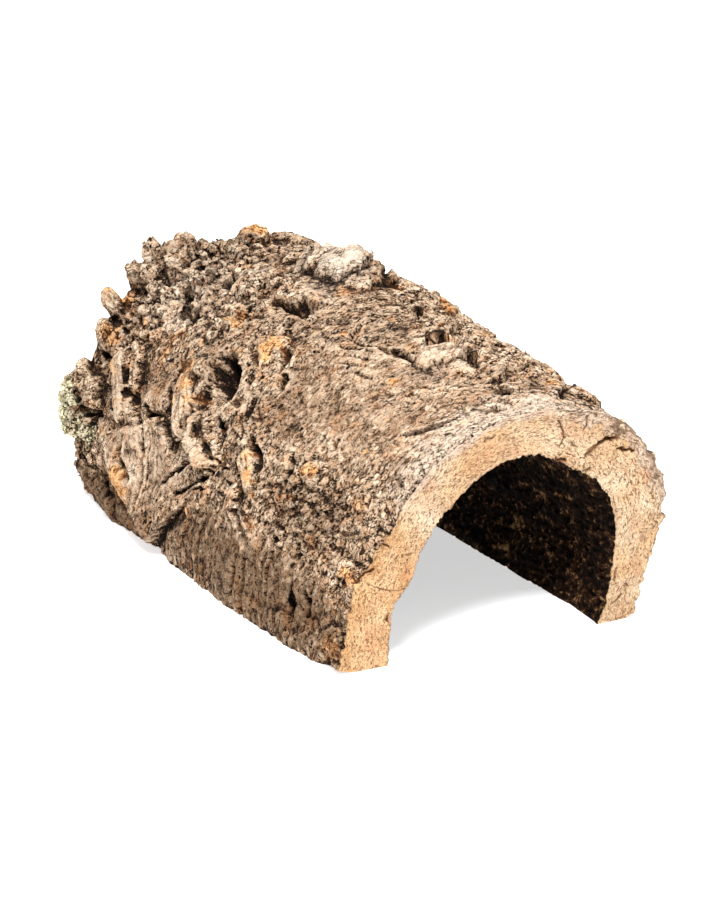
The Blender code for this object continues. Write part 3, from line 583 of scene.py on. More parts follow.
def barkForms(grid):
    s, t, ws, wt = grid["s"], grid["t"], grid["ws"], grid["wt"]
    height = 2.2 * softNoise(s / 62, t / 48, 1) + 1.3 * softNoise(s / 24, t / 20, 2)
    height += 0.4 * softNoise(ws / 11, wt / 9, 3)
    for lump in relief["lumps"]:
        addLump(height, grid, lump)
    for fold in relief["folds"]:
        addFold(height, grid, fold)
    ribs, mask = np.zeros(s.shape), np.zeros(s.shape)
    for strap in relief["straps"]:
        addStrap(height, ribs, mask, grid, strap)
    for ledge in relief["ledges"]:
        addLedge(height, grid, ledge)
    for pit in relief["pits"]:
        addPit(height, grid, pit)
    rough = np.full(s.shape, 0.4)
    for (place, angle), (reachS, reachT), amount in relief["roughGround"]:
        gapS = (s - place) / reachS
        gapT = (t - angle * tube["mmPerDegree"]) / (reachT * 1.6)
        rough = np.maximum(rough, amount * smoothStep(1.6 * (1 - np.hypot(gapS, gapT))))
    rough *= 1 - 0.9 * mask
    nearest, second = flatCells(ws / 11.5, wt / 9.5, 21)
    height += rough * (smoothStep(1.5 * (second - nearest)) - 0.5) - 1.0

    # The front cut keeps its own outline, and the upper edges of both cuts are worn round
    height *= 0.2 + 0.8 * smoothStep(s / 10)
    degrees, offsets = np.array(relief["frontOutside"][::-1], float).T
    height += np.interp(grid["degrees"], degrees, offsets) * smoothStep(1 - s / 14)
    worn = between(grid["degrees"], 78, 14, 132, 14)
    chipped = 1 + 0.7 * softNoise(t / 8.3, s / 5, 35) + 0.5 * softNoise(t / 3.1 + s / 2, s / 3, 36)
    height -= (0.5 + 0.8 * worn) * np.maximum(chipped, 0.1) * np.clip(1 - s / 4.5, 0, 1) ** 2
    height -= 1.4 * np.clip(1 - (tube["length"] - s) / 4, 0, 1) ** 2
    return height, rough, ribs, mask


# Fine forms of the bark: sizes along, around and up in mm, then the seed of their pattern
fineForms = {
    "largePlates": ((8.5, 13.0, 9.0), 45),
    "smallPlates": ((4.0, 7.0, 4.5), 48),
    "grains": ((1.9, 3.0, 1.9), 51),
    "thickLayers": ((15.0, 30.0, 14.0), 54, 5.0),  # and how many steps they have
    "thinLayers": ((5.0, 12.0, 5.0), 58, 3.0),
    "creasedParts": ((11, 11, 11), 61),
    "creases": ((3.0, 7.0, 3.4), 62),
    "ridgedParts": ((17, 19, 17), 74),
    "ridges": ((4.6, 26.0, 5.0), 70),
    "fineRidges": ((2.0, 12.0, 2.2), 71),
    "crackedParts": ((12, 22, 12), 73),
    "wallCracks": ((4.4, 24.0, 5.0), 72),
    "holes": ((6.0, 9.0, 6.0), 64, 0.25),  # and the share of their places that has one
    "pinholes": ((2.8, 4.2, 2.8), 66, 0.12),
    "knobs": ((7.2, 6.2, 7.2), 68),
    "rimLumps": ((9.0, 4.6, 9.0), 75),
    "rimNicks": ((4.0, 2.3, 4.0), 76),
    "roughness": ((0.9, 1.2, 0.9), 67),
}


def barkDetail(grid, height, rough, ribs, mask):
    s = grid["s"]
    fine = ribs.copy()
    for pit in detail["smallPits"]:
        addPit(fine, grid, pit)
    for path, halfWidth, depth in detail["grooves"]:
        addPit(fine, grid, (path, halfWidth * 1.6, depth))
    rocky = smoothStep((rough - 0.6) / 1.8)
    calm = np.maximum(zones(grid, detail["calm"]), 0.85 * mask)
    live = (1 - calm) * (0.35 + 0.65 * rocky)
    place = (grid["ws"], grid["wt"], 0.9 * height)
    bend = 0.7 * solidNoise(place, (2.4, 2.8, 2.4), 41)
    place = (place[0] + bend, place[1] + 0.7 * solidNoise(place, (2.6, 2.4, 2.4), 43), place[2])

    def noiseOf(name):
        return solidNoise(place, *fineForms[name])

    print("bark detail: plates")
    large, tone = tiltedPlates(place, *fineForms["largePlates"])
    small, tone2 = tiltedPlates(place, *fineForms["smallPlates"])
    grains, tone3 = tiltedPlates(place, *fineForms["grains"])
    fine += (0.05 + 1.35 * rocky) * (1 - calm) * large
    granular = smoothStep((rough - 2.4) / 0.9)
    fine += (0.10 + 0.65 * rocky) * (1 - 0.9 * calm) * (1 - 0.65 * granular) * small
    fine += (0.10 + 0.10 * rocky) * (1 - 0.7 * calm) * grains
    print("bark detail: layers and creases")
    fine += (0.22 + 0.4 * rocky) * (1 - 0.8 * calm) * tornLayers(place, *fineForms["thickLayers"])
    fine += (0.12 + 0.1 * rocky) * (1 - 0.7 * calm) * tornLayers(place, *fineForms["thinLayers"])
    creases = thinLines(noiseOf("creases"), 0.10) * smoothStep(0.35 + 1.5 * noiseOf("creasedParts"))
    fine -= 0.7 * (1 - 0.7 * calm) * creases

    # Upright ridges and cracks down both walls
    wall = smoothStep((np.abs(grid["degrees"] - 90) - 52) / 12)
    wall *= 1 - zones(grid, detail["noRidges"])
    wall *= 0.25 + 0.9 * smoothStep(0.5 + 1.4 * noiseOf("ridgedParts"))
    fine += 1.2 * wall * noiseOf("ridges")
    fine += 0.35 * wall * noiseOf("fineRidges")
    cracked = smoothStep(0.35 + 1.2 * noiseOf("crackedParts"))
    fine -= 1.6 * wall * thinLines(noiseOf("wallCracks"), 0.10) * cracked
    fine -= 1.3 * live * scatteredPits(place, *fineForms["holes"])
    fine -= 0.8 * scatteredPits(place, *fineForms["pinholes"]) * (1 - 0.6 * calm)
    fine += 0.08 * noiseOf("roughness")

    # The granular back: small rounded knobs with dark gaps
    nearest, second, own = cells(place, *fineForms["knobs"])[:3]
    fine += granular * (2.1 * smoothStep(2.2 * (second - nearest)) * (0.4 + own) - 1.2)
    print("bark detail", fine.min().round(1), fine.max().round(1))

    # Both rims: the back one is plainer, the front one ragged, most of all down its sides
    fine *= 0.35 + 0.65 * smoothStep((tube["length"] - s) / 6)
    ragged = 1.1 * noiseOf("rimLumps") + 0.8 * noiseOf("rimNicks")
    openSides = smoothStep((np.abs(grid["degrees"] - 100) - 22) / 14)
    fine += (0.25 + 0.95 * openSides) * ragged * smoothStep(1 - s / 16)
    tone = 0.5 * tone + 0.3 * tone2 + 0.2 * tone3
    return fine, calm, tone


def barkPoints(grid, height, fine):
    s, t, degrees = grid["s"], grid["t"], grid["degrees"]
    station = np.interp(s, tube["stations"], np.arange(len(tube["stations"])))
    alongSteps, aroundSteps = 20, 40  # of the smooth section between two stations and two radii

    def section(radii):
        lastColumn, lastRow = len(radii) - 1, len(radii[0]) - 1
        lines = spline(radii, np.linspace(0, lastColumn, alongSteps * lastColumn + 1))
        lines = spline(lines.T, np.linspace(0, lastRow, aroundSteps * lastRow + 1))
        row, column = (180 - degrees) / 30 * aroundSteps, station * alongSteps
        i = np.minimum(row.astype(int), aroundSteps * lastRow - 1)
        j = np.minimum(column.astype(int), alongSteps * lastColumn - 1)
        u, v = row - i, column - j
        low = lines[i, j] * (1 - v) + lines[i, j + 1] * v
        return low * (1 - u) + (lines[i + 1, j] * (1 - v) + lines[i + 1, j + 1] * v) * u

    axisX = spline(tube["axisX"], station.ravel()).reshape(s.shape)
    outer = section(tube["outerRadii"]) + height
    ripples = 0.9 * softNoise(s / 60, t / 9, 31) + 1.2 * softNoise(s / 26, t / 22, 32)
    frontDegrees, offsets = np.array(relief["frontInside"][::-1], float).T
    rim = np.interp(degrees, frontDegrees, offsets) * smoothStep(1 - s / 30)
    nicks = 0.8 * softNoise(t / 2.6, s / 3, 33) + 0.5 * softNoise(t / 1.1, s / 2, 34)
    rim += nicks * smoothStep(1 - s / 5)
    inner = section(tube["innerRadii"]) + ripples + rim

    # High ground leans down the walls and to the front, away from the feet and the ends
    lean = height * (offEnds(s, tube["length"], 18) * offEnds(degrees, 180, 12))
    leanT = 0.40 * lean * (smoothStep((degrees - 60) / 50) - smoothStep((50 - degrees) / 40))
    turned = np.radians(degrees + leanT / tube["mmPerDegree"])

    def place(radius, angle, y):
        points = np.stack([axisX + radius * np.cos(angle), y, radius * np.sin(angle)], -1)
        return points - np.array(tube["origin"])

    forms = place(outer, turned, s - 0.25 * lean)
    away = gridNormals(forms)
    away[:, 0, 1], away[:, -1, 1] = 0, 0  # the ends stay in their planes
    away[0, :, 2], away[-1, :, 2] = 0, 0
    bark = forms + away * fine[..., None]
    wall = place(inner, np.radians(degrees), s)

    # The feet reach the floor, with a ragged edge
    footLine = -tube["origin"][2]  # the section's own feet stand so far above the floor
    lift = 1.1 * np.clip(softNoise(s / 4, t / 9, 90) + 0.4 * softNoise(s / 1.7, t / 6, 92), 0, 1)
    rounded = 2.6 * smoothStep(1 - s / 16)
    for points, corner in ((bark, lift + rounded), (wall, lift)):
        points[0, :, 2], points[-1, :, 2] = footLine, footLine
        above = points[..., 2] - footLine
        points[..., 2] -= (relief["keel"] - corner) * np.clip(1 - above / 14, 0, 1) ** 2
        points[..., 2] = np.maximum(points[..., 2], 0)
    return bark, wall, ripples


def gridNormals(points):
    alongColumns = np.gradient(points, axis=1)
    alongRows = np.gradient(points, axis=0)
    normals = np.cross(alongRows, alongColumns)
    return normals / np.maximum(np.linalg.norm(normals, axis=2, keepdims=True), 1e-12)


def quadsOf(ids):
    return np.stack([ids[:-1, :-1], ids[:-1, 1:], ids[1:, 1:], ids[1:, :-1]], -1).reshape(-1, 4)


# A mesh object from points in mm, faces and one number or vector for each point under each name
def meshPiece(name, points, faces, fields, material, normals=None, smooth=True):
    mesh = bpy.data.meshes.new(name)
    sides = faces.shape[1]
    mesh.vertices.add(len(points))
    mesh.vertices.foreach_set("co", (points * mm).astype(np.float32).ravel())
    mesh.loops.add(faces.size)
    mesh.loops.foreach_set("vertex_index", faces.astype(np.int32).ravel())
    mesh.polygons.add(len(faces))
    mesh.polygons.foreach_set("loop_start", np.arange(0, faces.size, sides, dtype=np.int32))
    mesh.polygons.foreach_set("use_smooth", np.full(len(faces), smooth))
    mesh.update(calc_edges=True)
    mesh.validate()
    for key, values in fields.items():
        kind = "FLOAT" if values.ndim == 1 else "FLOAT_VECTOR"
        attribute = mesh.attributes.new(key, kind, "POINT")
        field = "value" if values.ndim == 1 else "vector"
        attribute.data.foreach_set(field, values.astype(np.float32).ravel())
    if normals is not None:
        mesh.normals_split_custom_set_from_vertices(normals.tolist())
    mesh.materials.append(material)
    piece = bpy.data.objects.new(name, mesh)
    bpy.context.scene.collection.objects.link(piece)
    return piece


def standFor(piece):
    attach(piece, "root")
    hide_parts("cork_bark")


def paint(red, green, blue):  # display values from 0 to 255, to the linear ones that a shader takes
    linear = []
    for value in (red, green, blue):
        value = value / 255
        linear.append(value / 12.92 if value <= 0.04045 else ((value + 0.055) / 1.055) ** 2.4)
    return (*linear, 1.0)


# Short names for the shader nodes. Most values can be a number or the output of another node
class Nodes:
    def __init__(self, name):
        self.material = bpy.data.materials.new(name)
        self.material.use_nodes = True
        self.tree = self.material.node_tree
        self.shader = self.tree.nodes["Principled BSDF"]

    def set(self, socket, value):
        if isinstance(value, bpy.types.NodeSocket):
            self.tree.links.new(value, socket)
        else:
            socket.default_value = value

    def node(self, kind, inputs, **settings):
        node = self.tree.nodes.new(kind)
        for key, value in settings.items():
            setattr(node, key, value)
        for key, value in inputs.items():
            self.set(node.inputs[key], value)
        return node

    def attribute(self, name, output="Fac"):
        return self.node("ShaderNodeAttribute", {}, attribute_name=name).outputs[output]

    def math(self, operation, a, b=0.0):
        return self.node("ShaderNodeMath", {0: a, 1: b}, operation=operation).outputs[0]

    def add(self, a, b):
        return self.math("ADD", a, b)

    def times(self, a, b):
        return self.math("MULTIPLY", a, b)

    def vectorMath(self, operation, a, b, output="Vector"):
        return self.node("ShaderNodeVectorMath", {0: a, 1: b}, operation=operation).outputs[output]

    def scaled(self, vector, factors):
        return self.vectorMath("MULTIPLY", vector, factors)

    def noise(self, vector, scale, detail=3.0, roughness=0.6):
        inputs = {"Vector": vector, "Scale": scale, "Detail": detail, "Roughness": roughness}
        return self.node("ShaderNodeTexNoise", inputs).outputs["Fac"]

    def bent(self, vector, scale, amount):  # the same place, pushed about a little
        noise = self.node("ShaderNodeTexNoise", {"Vector": vector, "Scale": scale, "Detail": 2.0})
        inputs = {0: noise.outputs["Color"], 1: (amount, amount, amount), 2: vector}
        return self.node("ShaderNodeVectorMath", inputs, operation="MULTIPLY_ADD").outputs[0]

    def cracks(self, vector, low, high):  # 1 on the borders between irregular cells
        inputs = {"Vector": vector, "Scale": 1.0}
        cells = self.node("ShaderNodeTexVoronoi", inputs, feature="DISTANCE_TO_EDGE")
        return self.range(cells.outputs["Distance"], low, high, 1.0, 0.0)

    def plates(self, vector):  # irregular cells: the height of their tilted tops, and a tone for each
        cells = self.node("ShaderNodeTexVoronoi", {"Vector": vector, "Scale": 1.0})
        gap = self.vectorMath("SUBTRACT", vector, cells.outputs["Position"])
        lean = self.vectorMath("SUBTRACT", cells.outputs["Color"], (0.5, 0.5, 0.5))
        tone = self.times(cells.outputs["Color"], 1.0)
        return self.vectorMath("DOT_PRODUCT", gap, lean, "Value"), tone

    def range(self, value, low, high, toLow=0.0, toHigh=1.0):
        inputs = {"Value": value, "From Min": low, "From Max": high, "To Min": toLow, "To Max": toHigh}
        return self.node("ShaderNodeMapRange", inputs).outputs["Result"]

    def ramp(self, value, stops):
        node = self.node("ShaderNodeValToRGB", {"Fac": value})
        elements = node.color_ramp.elements
        while len(elements) < len(stops):
            elements.new(0.5)
        for element, (place, colour) in zip(elements, stops):
            element.position = place
            element.color = paint(*colour)
        return node.outputs["Color"]

    def mix(self, share, a, b, blend="MIX"):
        inputs = {"Factor": share, "A": a, "B": b}
        return self.node("ShaderNodeMix", inputs, data_type="RGBA", blend_type=blend).outputs["Result"]

    # Each row is a value, where the hue starts, where it is full, how much of it then, and the hue
    def tints(self, colour, rows, blend="MIX"):
        for value, low, high, most, hue in rows:
            colour = self.mix(self.range(value, low, high, 0.0, most), colour, paint(*hue), blend)
        return colour

    def bump(self, height, distance, strength, under=None):
        inputs = {"Distance": distance, "Strength": strength, "Height": height}
        if under is not None:
            inputs["Normal"] = under
        return self.node("ShaderNodeBump", inputs).outputs["Normal"]

    def place(self):
        return self.node("ShaderNodeTexCoord", {}).outputs["Object"]


# Hues as display values from 0 to 255, at levels from painted shade deep in a crack (0) to painted light
# on a raised edge (1)
barkColours = {
    "bark": (
        (0.00, (24, 14, 8)),
        (0.14, (62, 42, 28)),
        (0.30, (127, 98, 71)),
        (0.46, (184, 154, 125)),
        (0.68, (216, 189, 160)),
        (1.00, (246, 229, 206)),
    ),
    "fresh": (  # freshly broken cork
        (0.05, (88, 50, 24)),
        (0.35, (176, 112, 62)),
        (0.60, (226, 166, 104)),
        (0.95, (246, 208, 154)),
    ),
    "bleached": (
        (0.02, (40, 27, 18)),
        (0.20, (142, 120, 100)),
        (0.38, (196, 174, 152)),
        (0.65, (227, 207, 185)),
        (1.00, (242, 228, 210)),
    ),
    "lichen": ((0.05, (66, 60, 42)), (0.30, (186, 178, 136)), (0.65, (238, 232, 202))),
    "shadeAndGrimeHue": (160, 148, 134),
}


def barkMaterial():
    n = Nodes("weathered bark")
    place = n.place()
    run = n.attribute("run", "Vector")  # mm along, around and up
    bent = n.bent(run, 0.35, 1.3)
    # Small scales with crisp edges, most of them longer round the tube
    coarse, fine = n.scaled(bent, (0.46, 0.24, 0.44)), n.scaled(bent, (1.15, 0.62, 1.1))
    scales, scaleTone = n.plates(coarse)
    chips, chipTone = n.plates(fine)
    gaps = n.range(n.noise(n.scaled(run, (0.30, 0.24, 0.30)), 1.0, 3.0), 0.49, 0.57)
    fineGaps = n.range(n.noise(n.scaled(run, (0.45, 0.35, 0.45)), 1.0, 3.0), 0.50, 0.60)
    breaks = n.times(n.cracks(coarse, 0.03, 0.12), gaps)
    fineBreaks = n.times(n.cracks(fine, 0.08, 0.30), fineGaps)
    strokes = n.math("MAXIMUM", breaks, n.times(fineBreaks, 0.75))
    strokes = n.times(strokes, n.range(n.attribute("calm"), 0.0, 1.0, 1.0, 0.45))
    # Long curved hairlines, in some places only
    curve = n.noise(n.scaled(bent, (0.30, 0.10, 0.26)), 1.0, 2.0, 0.5)
    curve = n.math("ABSOLUTE", n.math("SUBTRACT", curve, 0.5))
    curve = n.range(curve, 0.006, 0.016, 1.0, 0.0)
    curve = n.times(curve, n.range(n.noise(run, 0.11, 2.0), 0.50, 0.56))
    strokes = n.math("MAXIMUM", strokes, n.times(curve, 0.9))
    # Rims: a paler band along the edges of the scales, beside the dark strokes, a painted highlight
    rims = n.times(n.cracks(coarse, 0.13, 0.34), gaps)
    fibres = n.noise(n.scaled(bent, (1.6, 0.45, 1.6)), 1.0, 4.0, 0.7)
    speck = n.noise(place, 1500, 3.0, 0.75)
    # The level starts from the painted shade of hollows and the painted light of raised edges
    level = n.add(n.attribute("paintedShadeAndTone"), n.range(speck, 0.3, 0.7, -0.19, 0.19))
    pores = n.range(n.noise(place, 900, 2.0, 0.6), 0.57, 0.63, 0.0, 0.40)
    pores = n.times(pores, n.range(n.attribute("calm"), 0.0, 0.9, 1.0, 0.40))
    level = n.math("SUBTRACT", level, pores)
    level = n.add(level, n.range(fibres, 0.30, 0.68, -0.04, 0.04))
    for ownTone in (scaleTone, chipTone, n.attribute("tone")):
        level = n.add(level, n.range(ownTone, 0.2, 0.8, -0.05, 0.05))
    # painted highlight on the rims
    level = n.add(level, n.times(rims, 0.22))
    # The dark strokes: painted shade in hairline cracks, partly the cracks' own dark colour
    level = n.math("SUBTRACT", level, n.times(strokes, 0.84))
    # Each scale has a hue of its own, from grey to orange, under slow drifts between grey, pink and tan
    drift, warm = n.noise(place, 30, 3.0, 0.55), n.noise(place, 90, 3.0, 0.6)
    hues = (
        (scaleTone, 0.60, 0.85, 0.40, (236, 190, 146)),
        (scaleTone, 0.40, 0.15, 0.45, (206, 204, 200)),
        (drift, 0.48, 0.66, 0.45, (188, 168, 150)),
        (warm, 0.53, 0.68, 0.55, (238, 196, 144)),
    )
    colour = n.tints(n.ramp(level, barkColours["bark"]), hues, "MULTIPLY")
    for patch in ("fresh", "bleached"):
        colour = n.mix(n.attribute(patch), colour, n.ramp(level, barkColours[patch]))
    # Multiply in the darker patches: painted shade in pits and behind lumps, grime and painted shade on
    # the lower walls
    colour = n.mix(n.attribute("shadeAndGrime"), colour, paint(*barkColours["shadeAndGrimeHue"]), "MULTIPLY")
    crust = n.ramp(level, barkColours["lichen"])
    colour = n.mix(n.times(n.attribute("lichen"), 0.92), colour, crust)
    n.set(n.shader.inputs["Base Color"], colour)
    n.shader.inputs["Roughness"].default_value = 0.93
    n.shader.inputs["Specular IOR Level"].default_value = 0.2
    bump = n.bump(speck, 0.0004, 0.7)
    bump = n.bump(fibres, 0.0003, 0.5, bump)
    bump = n.bump(scales, 0.0007, 0.9, bump)
    bump = n.bump(chips, 0.0005, 0.9, bump)
    bump = n.bump(n.times(strokes, -1.0), 0.0006, 0.9, bump)
    n.set(n.shader.inputs["Normal"], bump)
    return n.material


sawnColours = {
    "cork": (
        (0.0, (168, 124, 86)),
        (0.35, (209, 172, 133)),
        (0.65, (230, 203, 167)),
        (1.0, (245, 227, 200)),
    ),
    # Multiplied over the face by the level: painted shade in chips and cracks, white where there is none
    "depth": ((0.0, (74, 56, 42)), (0.3, (150, 122, 96)), (0.62, (255, 255, 255))),
}


def sawnMaterial():
    n = Nodes("sawn cork")
    place = n.place()
    run = n.attribute("run", "Vector")
    cloud = n.noise(place, 60, 4.0, 0.6)
    grain = n.noise(place, 800, 3.0, 0.7)
    level = n.add(n.range(cloud, 0.3, 0.7, 0.0, 0.5), n.range(grain, 0.3, 0.7, 0.0, 0.5))
    colour = n.ramp(level, sawnColours["cork"])
    patches, rosy = n.noise(place, 28, 3.0, 0.6), n.noise(place, 75, 3.0, 0.6)
    hues = (
        (patches, 0.50, 0.64, 0.55, (250, 234, 212)),
        (patches, 0.46, 0.36, 0.35, (234, 184, 126)),
        (rosy, 0.54, 0.70, 0.40, (224, 166, 134)),
    )
    colour = n.tints(colour, hues)
    colour = n.mix(n.attribute("bleached"), colour, paint(222, 202, 182))
    colour = n.mix(n.attribute("fresh"), colour, paint(254, 234, 208), "MULTIPLY")
    # Curved layers of growth along the rim
    layers = n.noise(n.scaled(n.bent(run, 0.25, 2.2), (0.62, 0.045, 0.3)), 1.0, 3.0, 0.55)
    colour = n.tints(colour, ((layers, 0.54, 0.64, 0.40, (170, 118, 78)),))
    # Short dark flecks, the ends of the cork's pores
    bent = n.bent(run, 0.4, 1.0)
    flecks = n.noise(n.scaled(bent, (1.25, 0.55, 1.0)), 1.0, 2.0, 0.6)
    flecks = n.range(flecks, 0.57, 0.63)
    colour = n.mix(n.times(flecks, 0.80), colour, paint(116, 70, 38))
    fine = n.range(n.noise(n.scaled(bent, (2.4, 1.2, 1.0)), 1.0, 2.0, 0.6), 0.55, 0.62)
    colour = n.mix(n.times(fine, 0.70), colour, paint(134, 86, 50))
    colour = n.mix(n.attribute("edge"), colour, paint(112, 84, 60))
    # painted shade of the chips and cracks
    colour = n.mix(1.0, colour, n.ramp(n.attribute("paintedShadeAndTone"), sawnColours["depth"]), "MULTIPLY")
    n.set(n.shader.inputs["Base Color"], colour)
    n.shader.inputs["Roughness"].default_value = 0.9
    n.shader.inputs["Specular IOR Level"].default_value = 0.25
    bump = n.bump(grain, 0.0014, 0.9)
    bump = n.bump(n.noise(place, 260, 4.0, 0.7), 0.0035, 0.8, bump)
    bump = n.bump(n.times(flecks, -1.0), 0.0014, 0.9, bump)
    n.set(n.shader.inputs["Normal"], bump)
    return n.material


def insideMaterial():
    n = Nodes("dark inside")
    place = n.place()
    rough = n.noise(place, 330, 5.0, 0.75)
    level = n.add(n.attribute("paintedShadeAndTone"), n.range(rough, 0.34, 0.66, -0.42, 0.42))
    hues = ((0.15, (5, 2, 1)), (0.50, (30, 16, 7)), (0.78, (70, 44, 24)), (1.0, (170, 132, 90)))
    colour = n.ramp(level, hues)
    n.set(n.shader.inputs["Base Color"], colour)
    n.set(n.shader.inputs["Roughness"], n.range(rough, 0.3, 0.7, 0.9, 0.6))
    n.shader.inputs["Specular IOR Level"].default_value = 0.06
    bump = n.bump(rough, 0.004, 0.9)
    bump = n.bump(n.noise(place, 900, 3.0, 0.7), 0.0008, 0.7, bump)
    n.set(n.shader.inputs["Normal"], bump)
    return n.material


def floorMaterial():
    n = Nodes("white sweep")
    n.shader.inputs["Base Color"].default_value = paint(250, 250, 250)
    n.shader.inputs["Emission Color"].default_value = (1.0, 1.0, 1.0, 1.0)
    n.shader.inputs["Emission Strength"].default_value = 0.58
    n.shader.inputs["Roughness"].default_value = 0.8
    return n.material


def makeBark(outer, fields, material):
    normals = gridNormals(outer)
    names = "barkFront", "barkMiddle", "barkBack"
    columns = tube["columns"] // len(names)
    for k, name in enumerate(names):
        span = slice(k * columns, (k + 1) * columns + 1)
        points = outer[:, span].reshape(-1, 3)
        ids = np.arange(len(points)).reshape(outer.shape[0], -1)
        own = {key: values[:, span].reshape(-1, *values.shape[2:]) for key, values in fields.items()}
        faces = quadsOf(ids)[:, ::-1]
        piece = meshPiece(name, points, faces, own, material, normals[:, span].reshape(-1, 3))
        standFor(piece)
        print(name, 2 * len(faces), "triangles")
    return normals


# Thin flakes that lift off the bark, and crumbs, most of them on the lichen and the rough ground
loose = {
    "flakes": 4400,
    "flakeLengths": (1.4, 4.6),
    "flakeThickness": (0.25, 0.5),
    "lift": (0.08, 0.5),  # slope of a flake against the ground
    "crumbs": 1500,
    "crumbSizes": (0.45, 1.2),
    "seed": 5,
}


def pickGround(generator, weight, count, outer, normals, fields):
    weight = weight.ravel() / weight.sum()
    chosen = generator.choice(weight.size, size=count, replace=False, p=weight)
    around = np.gradient(outer, axis=0).reshape(-1, 3)[chosen]
    around /= np.linalg.norm(around, axis=1, keepdims=True)
    own = {key: values.reshape(weight.size, -1)[chosen] for key, values in fields.items()}
    return outer.reshape(-1, 3)[chosen], normals.reshape(-1, 3)[chosen], around, own


def spreadFields(own, corners):  # each piece's values on all of its corners
    return {key: np.repeat(values, corners, axis=0).squeeze() for key, values in own.items()}


def icosahedron():  # its 12 corners and 20 faces
    golden = (1 + 5**0.5) / 2
    ball = [(0, 1, golden), (0, -1, golden), (0, 1, -golden), (0, -1, -golden)]
    ball += [(b, c, a) for a, b, c in ball] + [(c, a, b) for a, b, c in ball]
    ball = np.array(ball) / np.sqrt(1 + golden**2)
    faces = []
    for i, j, k in [(i, j, k) for i in range(12) for j in range(i + 1, 12) for k in range(j + 1, 12)]:
        sides = ball[j] - ball[i], ball[k] - ball[i], ball[k] - ball[j]
        if max(np.linalg.norm(side) for side in sides) < 1.1:
            outward = np.dot(np.cross(sides[0], sides[1]), ball[i]) > 0
            faces.append((i, j, k) if outward else (i, k, j))
    return ball, np.array(faces)


def makeLoose(grid, outer, normals, fields, rough, material):
    generator = np.random.default_rng(loose["seed"])
    s, t = grid["s"], grid["t"]
    inner = offEnds(s, tube["length"], 6) * smoothStep((np.minimum(t, t.max() - t) - 3) / 5)
    count = loose["flakes"]
    weight = inner * (0.30 + 0.35 * np.clip(rough, 0, 3)) * (1 - 0.85 * fields["calm"])
    weight *= 0.3 + smoothStep(0.5 + softNoise(s / 20, t / 20, 101))
    ground, up, around, own = pickGround(generator, weight, count, outer, normals, fields)
    turn = generator.normal(0, 0.6, count)[:, None]
    side = np.cross(up, around)
    longWay = around * np.cos(turn) + side * np.sin(turn)
    crossWay = np.cross(up, longWay)
    low, high = loose["flakeLengths"]
    length = low + (high - low) * generator.random(count) ** 2.2
    width = length * (0.35 + 0.35 * generator.random(count))
    low, high = loose["lift"]
    lift = low + (high - low) * generator.random(count) ** 1.5
    curl = generator.uniform(-0.05, 0.12, count)
    low, high = loose["flakeThickness"]
    thickness = generator.uniform(low, high, count)
    corners, raised = 6, 0.18
    angles = 2 * np.pi * (np.arange(corners) + generator.uniform(-0.32, 0.32, (count, corners))) / corners
    reach = generator.uniform(0.72, 1.18, (count, corners))
    x = 0.5 * length[:, None] * reach * np.cos(angles)
    y = 0.5 * width[:, None] * reach * np.sin(angles)
    z = lift[:, None] * (y + 0.42 * width[:, None]) + curl[:, None] * x * x
    z += generator.uniform(-0.06, 0.06, (count, corners))
    flat = ground[:, None] + longWay[:, None] * x[..., None] + crossWay[:, None] * y[..., None]
    top = flat + up[:, None] * (z + raised)[..., None]
    bottom = flat + up[:, None] * (z + raised - thickness[:, None])[..., None]
    points = np.concatenate([top, bottom], axis=1).reshape(-1, 3)
    one = [(0, i, i + 1) for i in range(1, corners - 1)]
    one += [(corners, corners + i + 1, corners + i) for i in range(1, corners - 1)]
    for i in range(corners):
        j = (i + 1) % corners
        one += [(i, corners + i, corners + j), (i, corners + j, j)]
    faces = (np.array(one)[None] + 2 * corners * np.arange(count)[:, None, None]).reshape(-1, 3)
    # Flakes keep part of the painted shade of the ground beneath, with a random tone of their own
    own["paintedShadeAndTone"] = np.clip(own["paintedShadeAndTone"] * 0.4 + generator.uniform(0.22, 0.50, (count, 1)), 0, 1)
    own["tone"] = generator.random((count, 1))
    own["fresh"] = np.maximum(own["fresh"], 0.6 * (generator.random((count, 1)) < 0.035))
    spread = spreadFields(own, 2 * corners)
    standFor(meshPiece("barkFlakes", points, faces, spread, material, smooth=False))
    print("barkFlakes", len(faces), "triangles")

    # Crumbs of lichen and dry bark
    count = loose["crumbs"]
    weight = inner * (6.0 * fields["lichen"] + 0.10 * np.clip(rough - 1.2, 0, 3) + 0.02)
    ground, up, around, own = pickGround(generator, weight, count, outer, normals, fields)
    ball, one = icosahedron()
    low, high = loose["crumbSizes"]
    size = low + (high - low) * generator.random((count, 1, 1)) ** 1.6
    blobs = ball[None] * size * generator.uniform(0.7, 1.25, (count, len(ball), 1))
    blobs = blobs * generator.uniform(0.7, 1.2, (count, 1, 3))
    points = (ground[:, None] + up[:, None] * 0.3 * size + blobs).reshape(-1, 3)
    faces = (one[None] + len(ball) * np.arange(count)[:, None, None]).reshape(-1, 3)
    own["paintedShadeAndTone"] = generator.uniform(0.30, 0.78, (count, 1))
    own["tone"] = generator.random((count, 1))
    spread = spreadFields(own, len(ball))
    standFor(meshPiece("lichenCrumbs", points, faces, spread, material, smooth=False))
    print("lichenCrumbs", len(faces), "triangles")


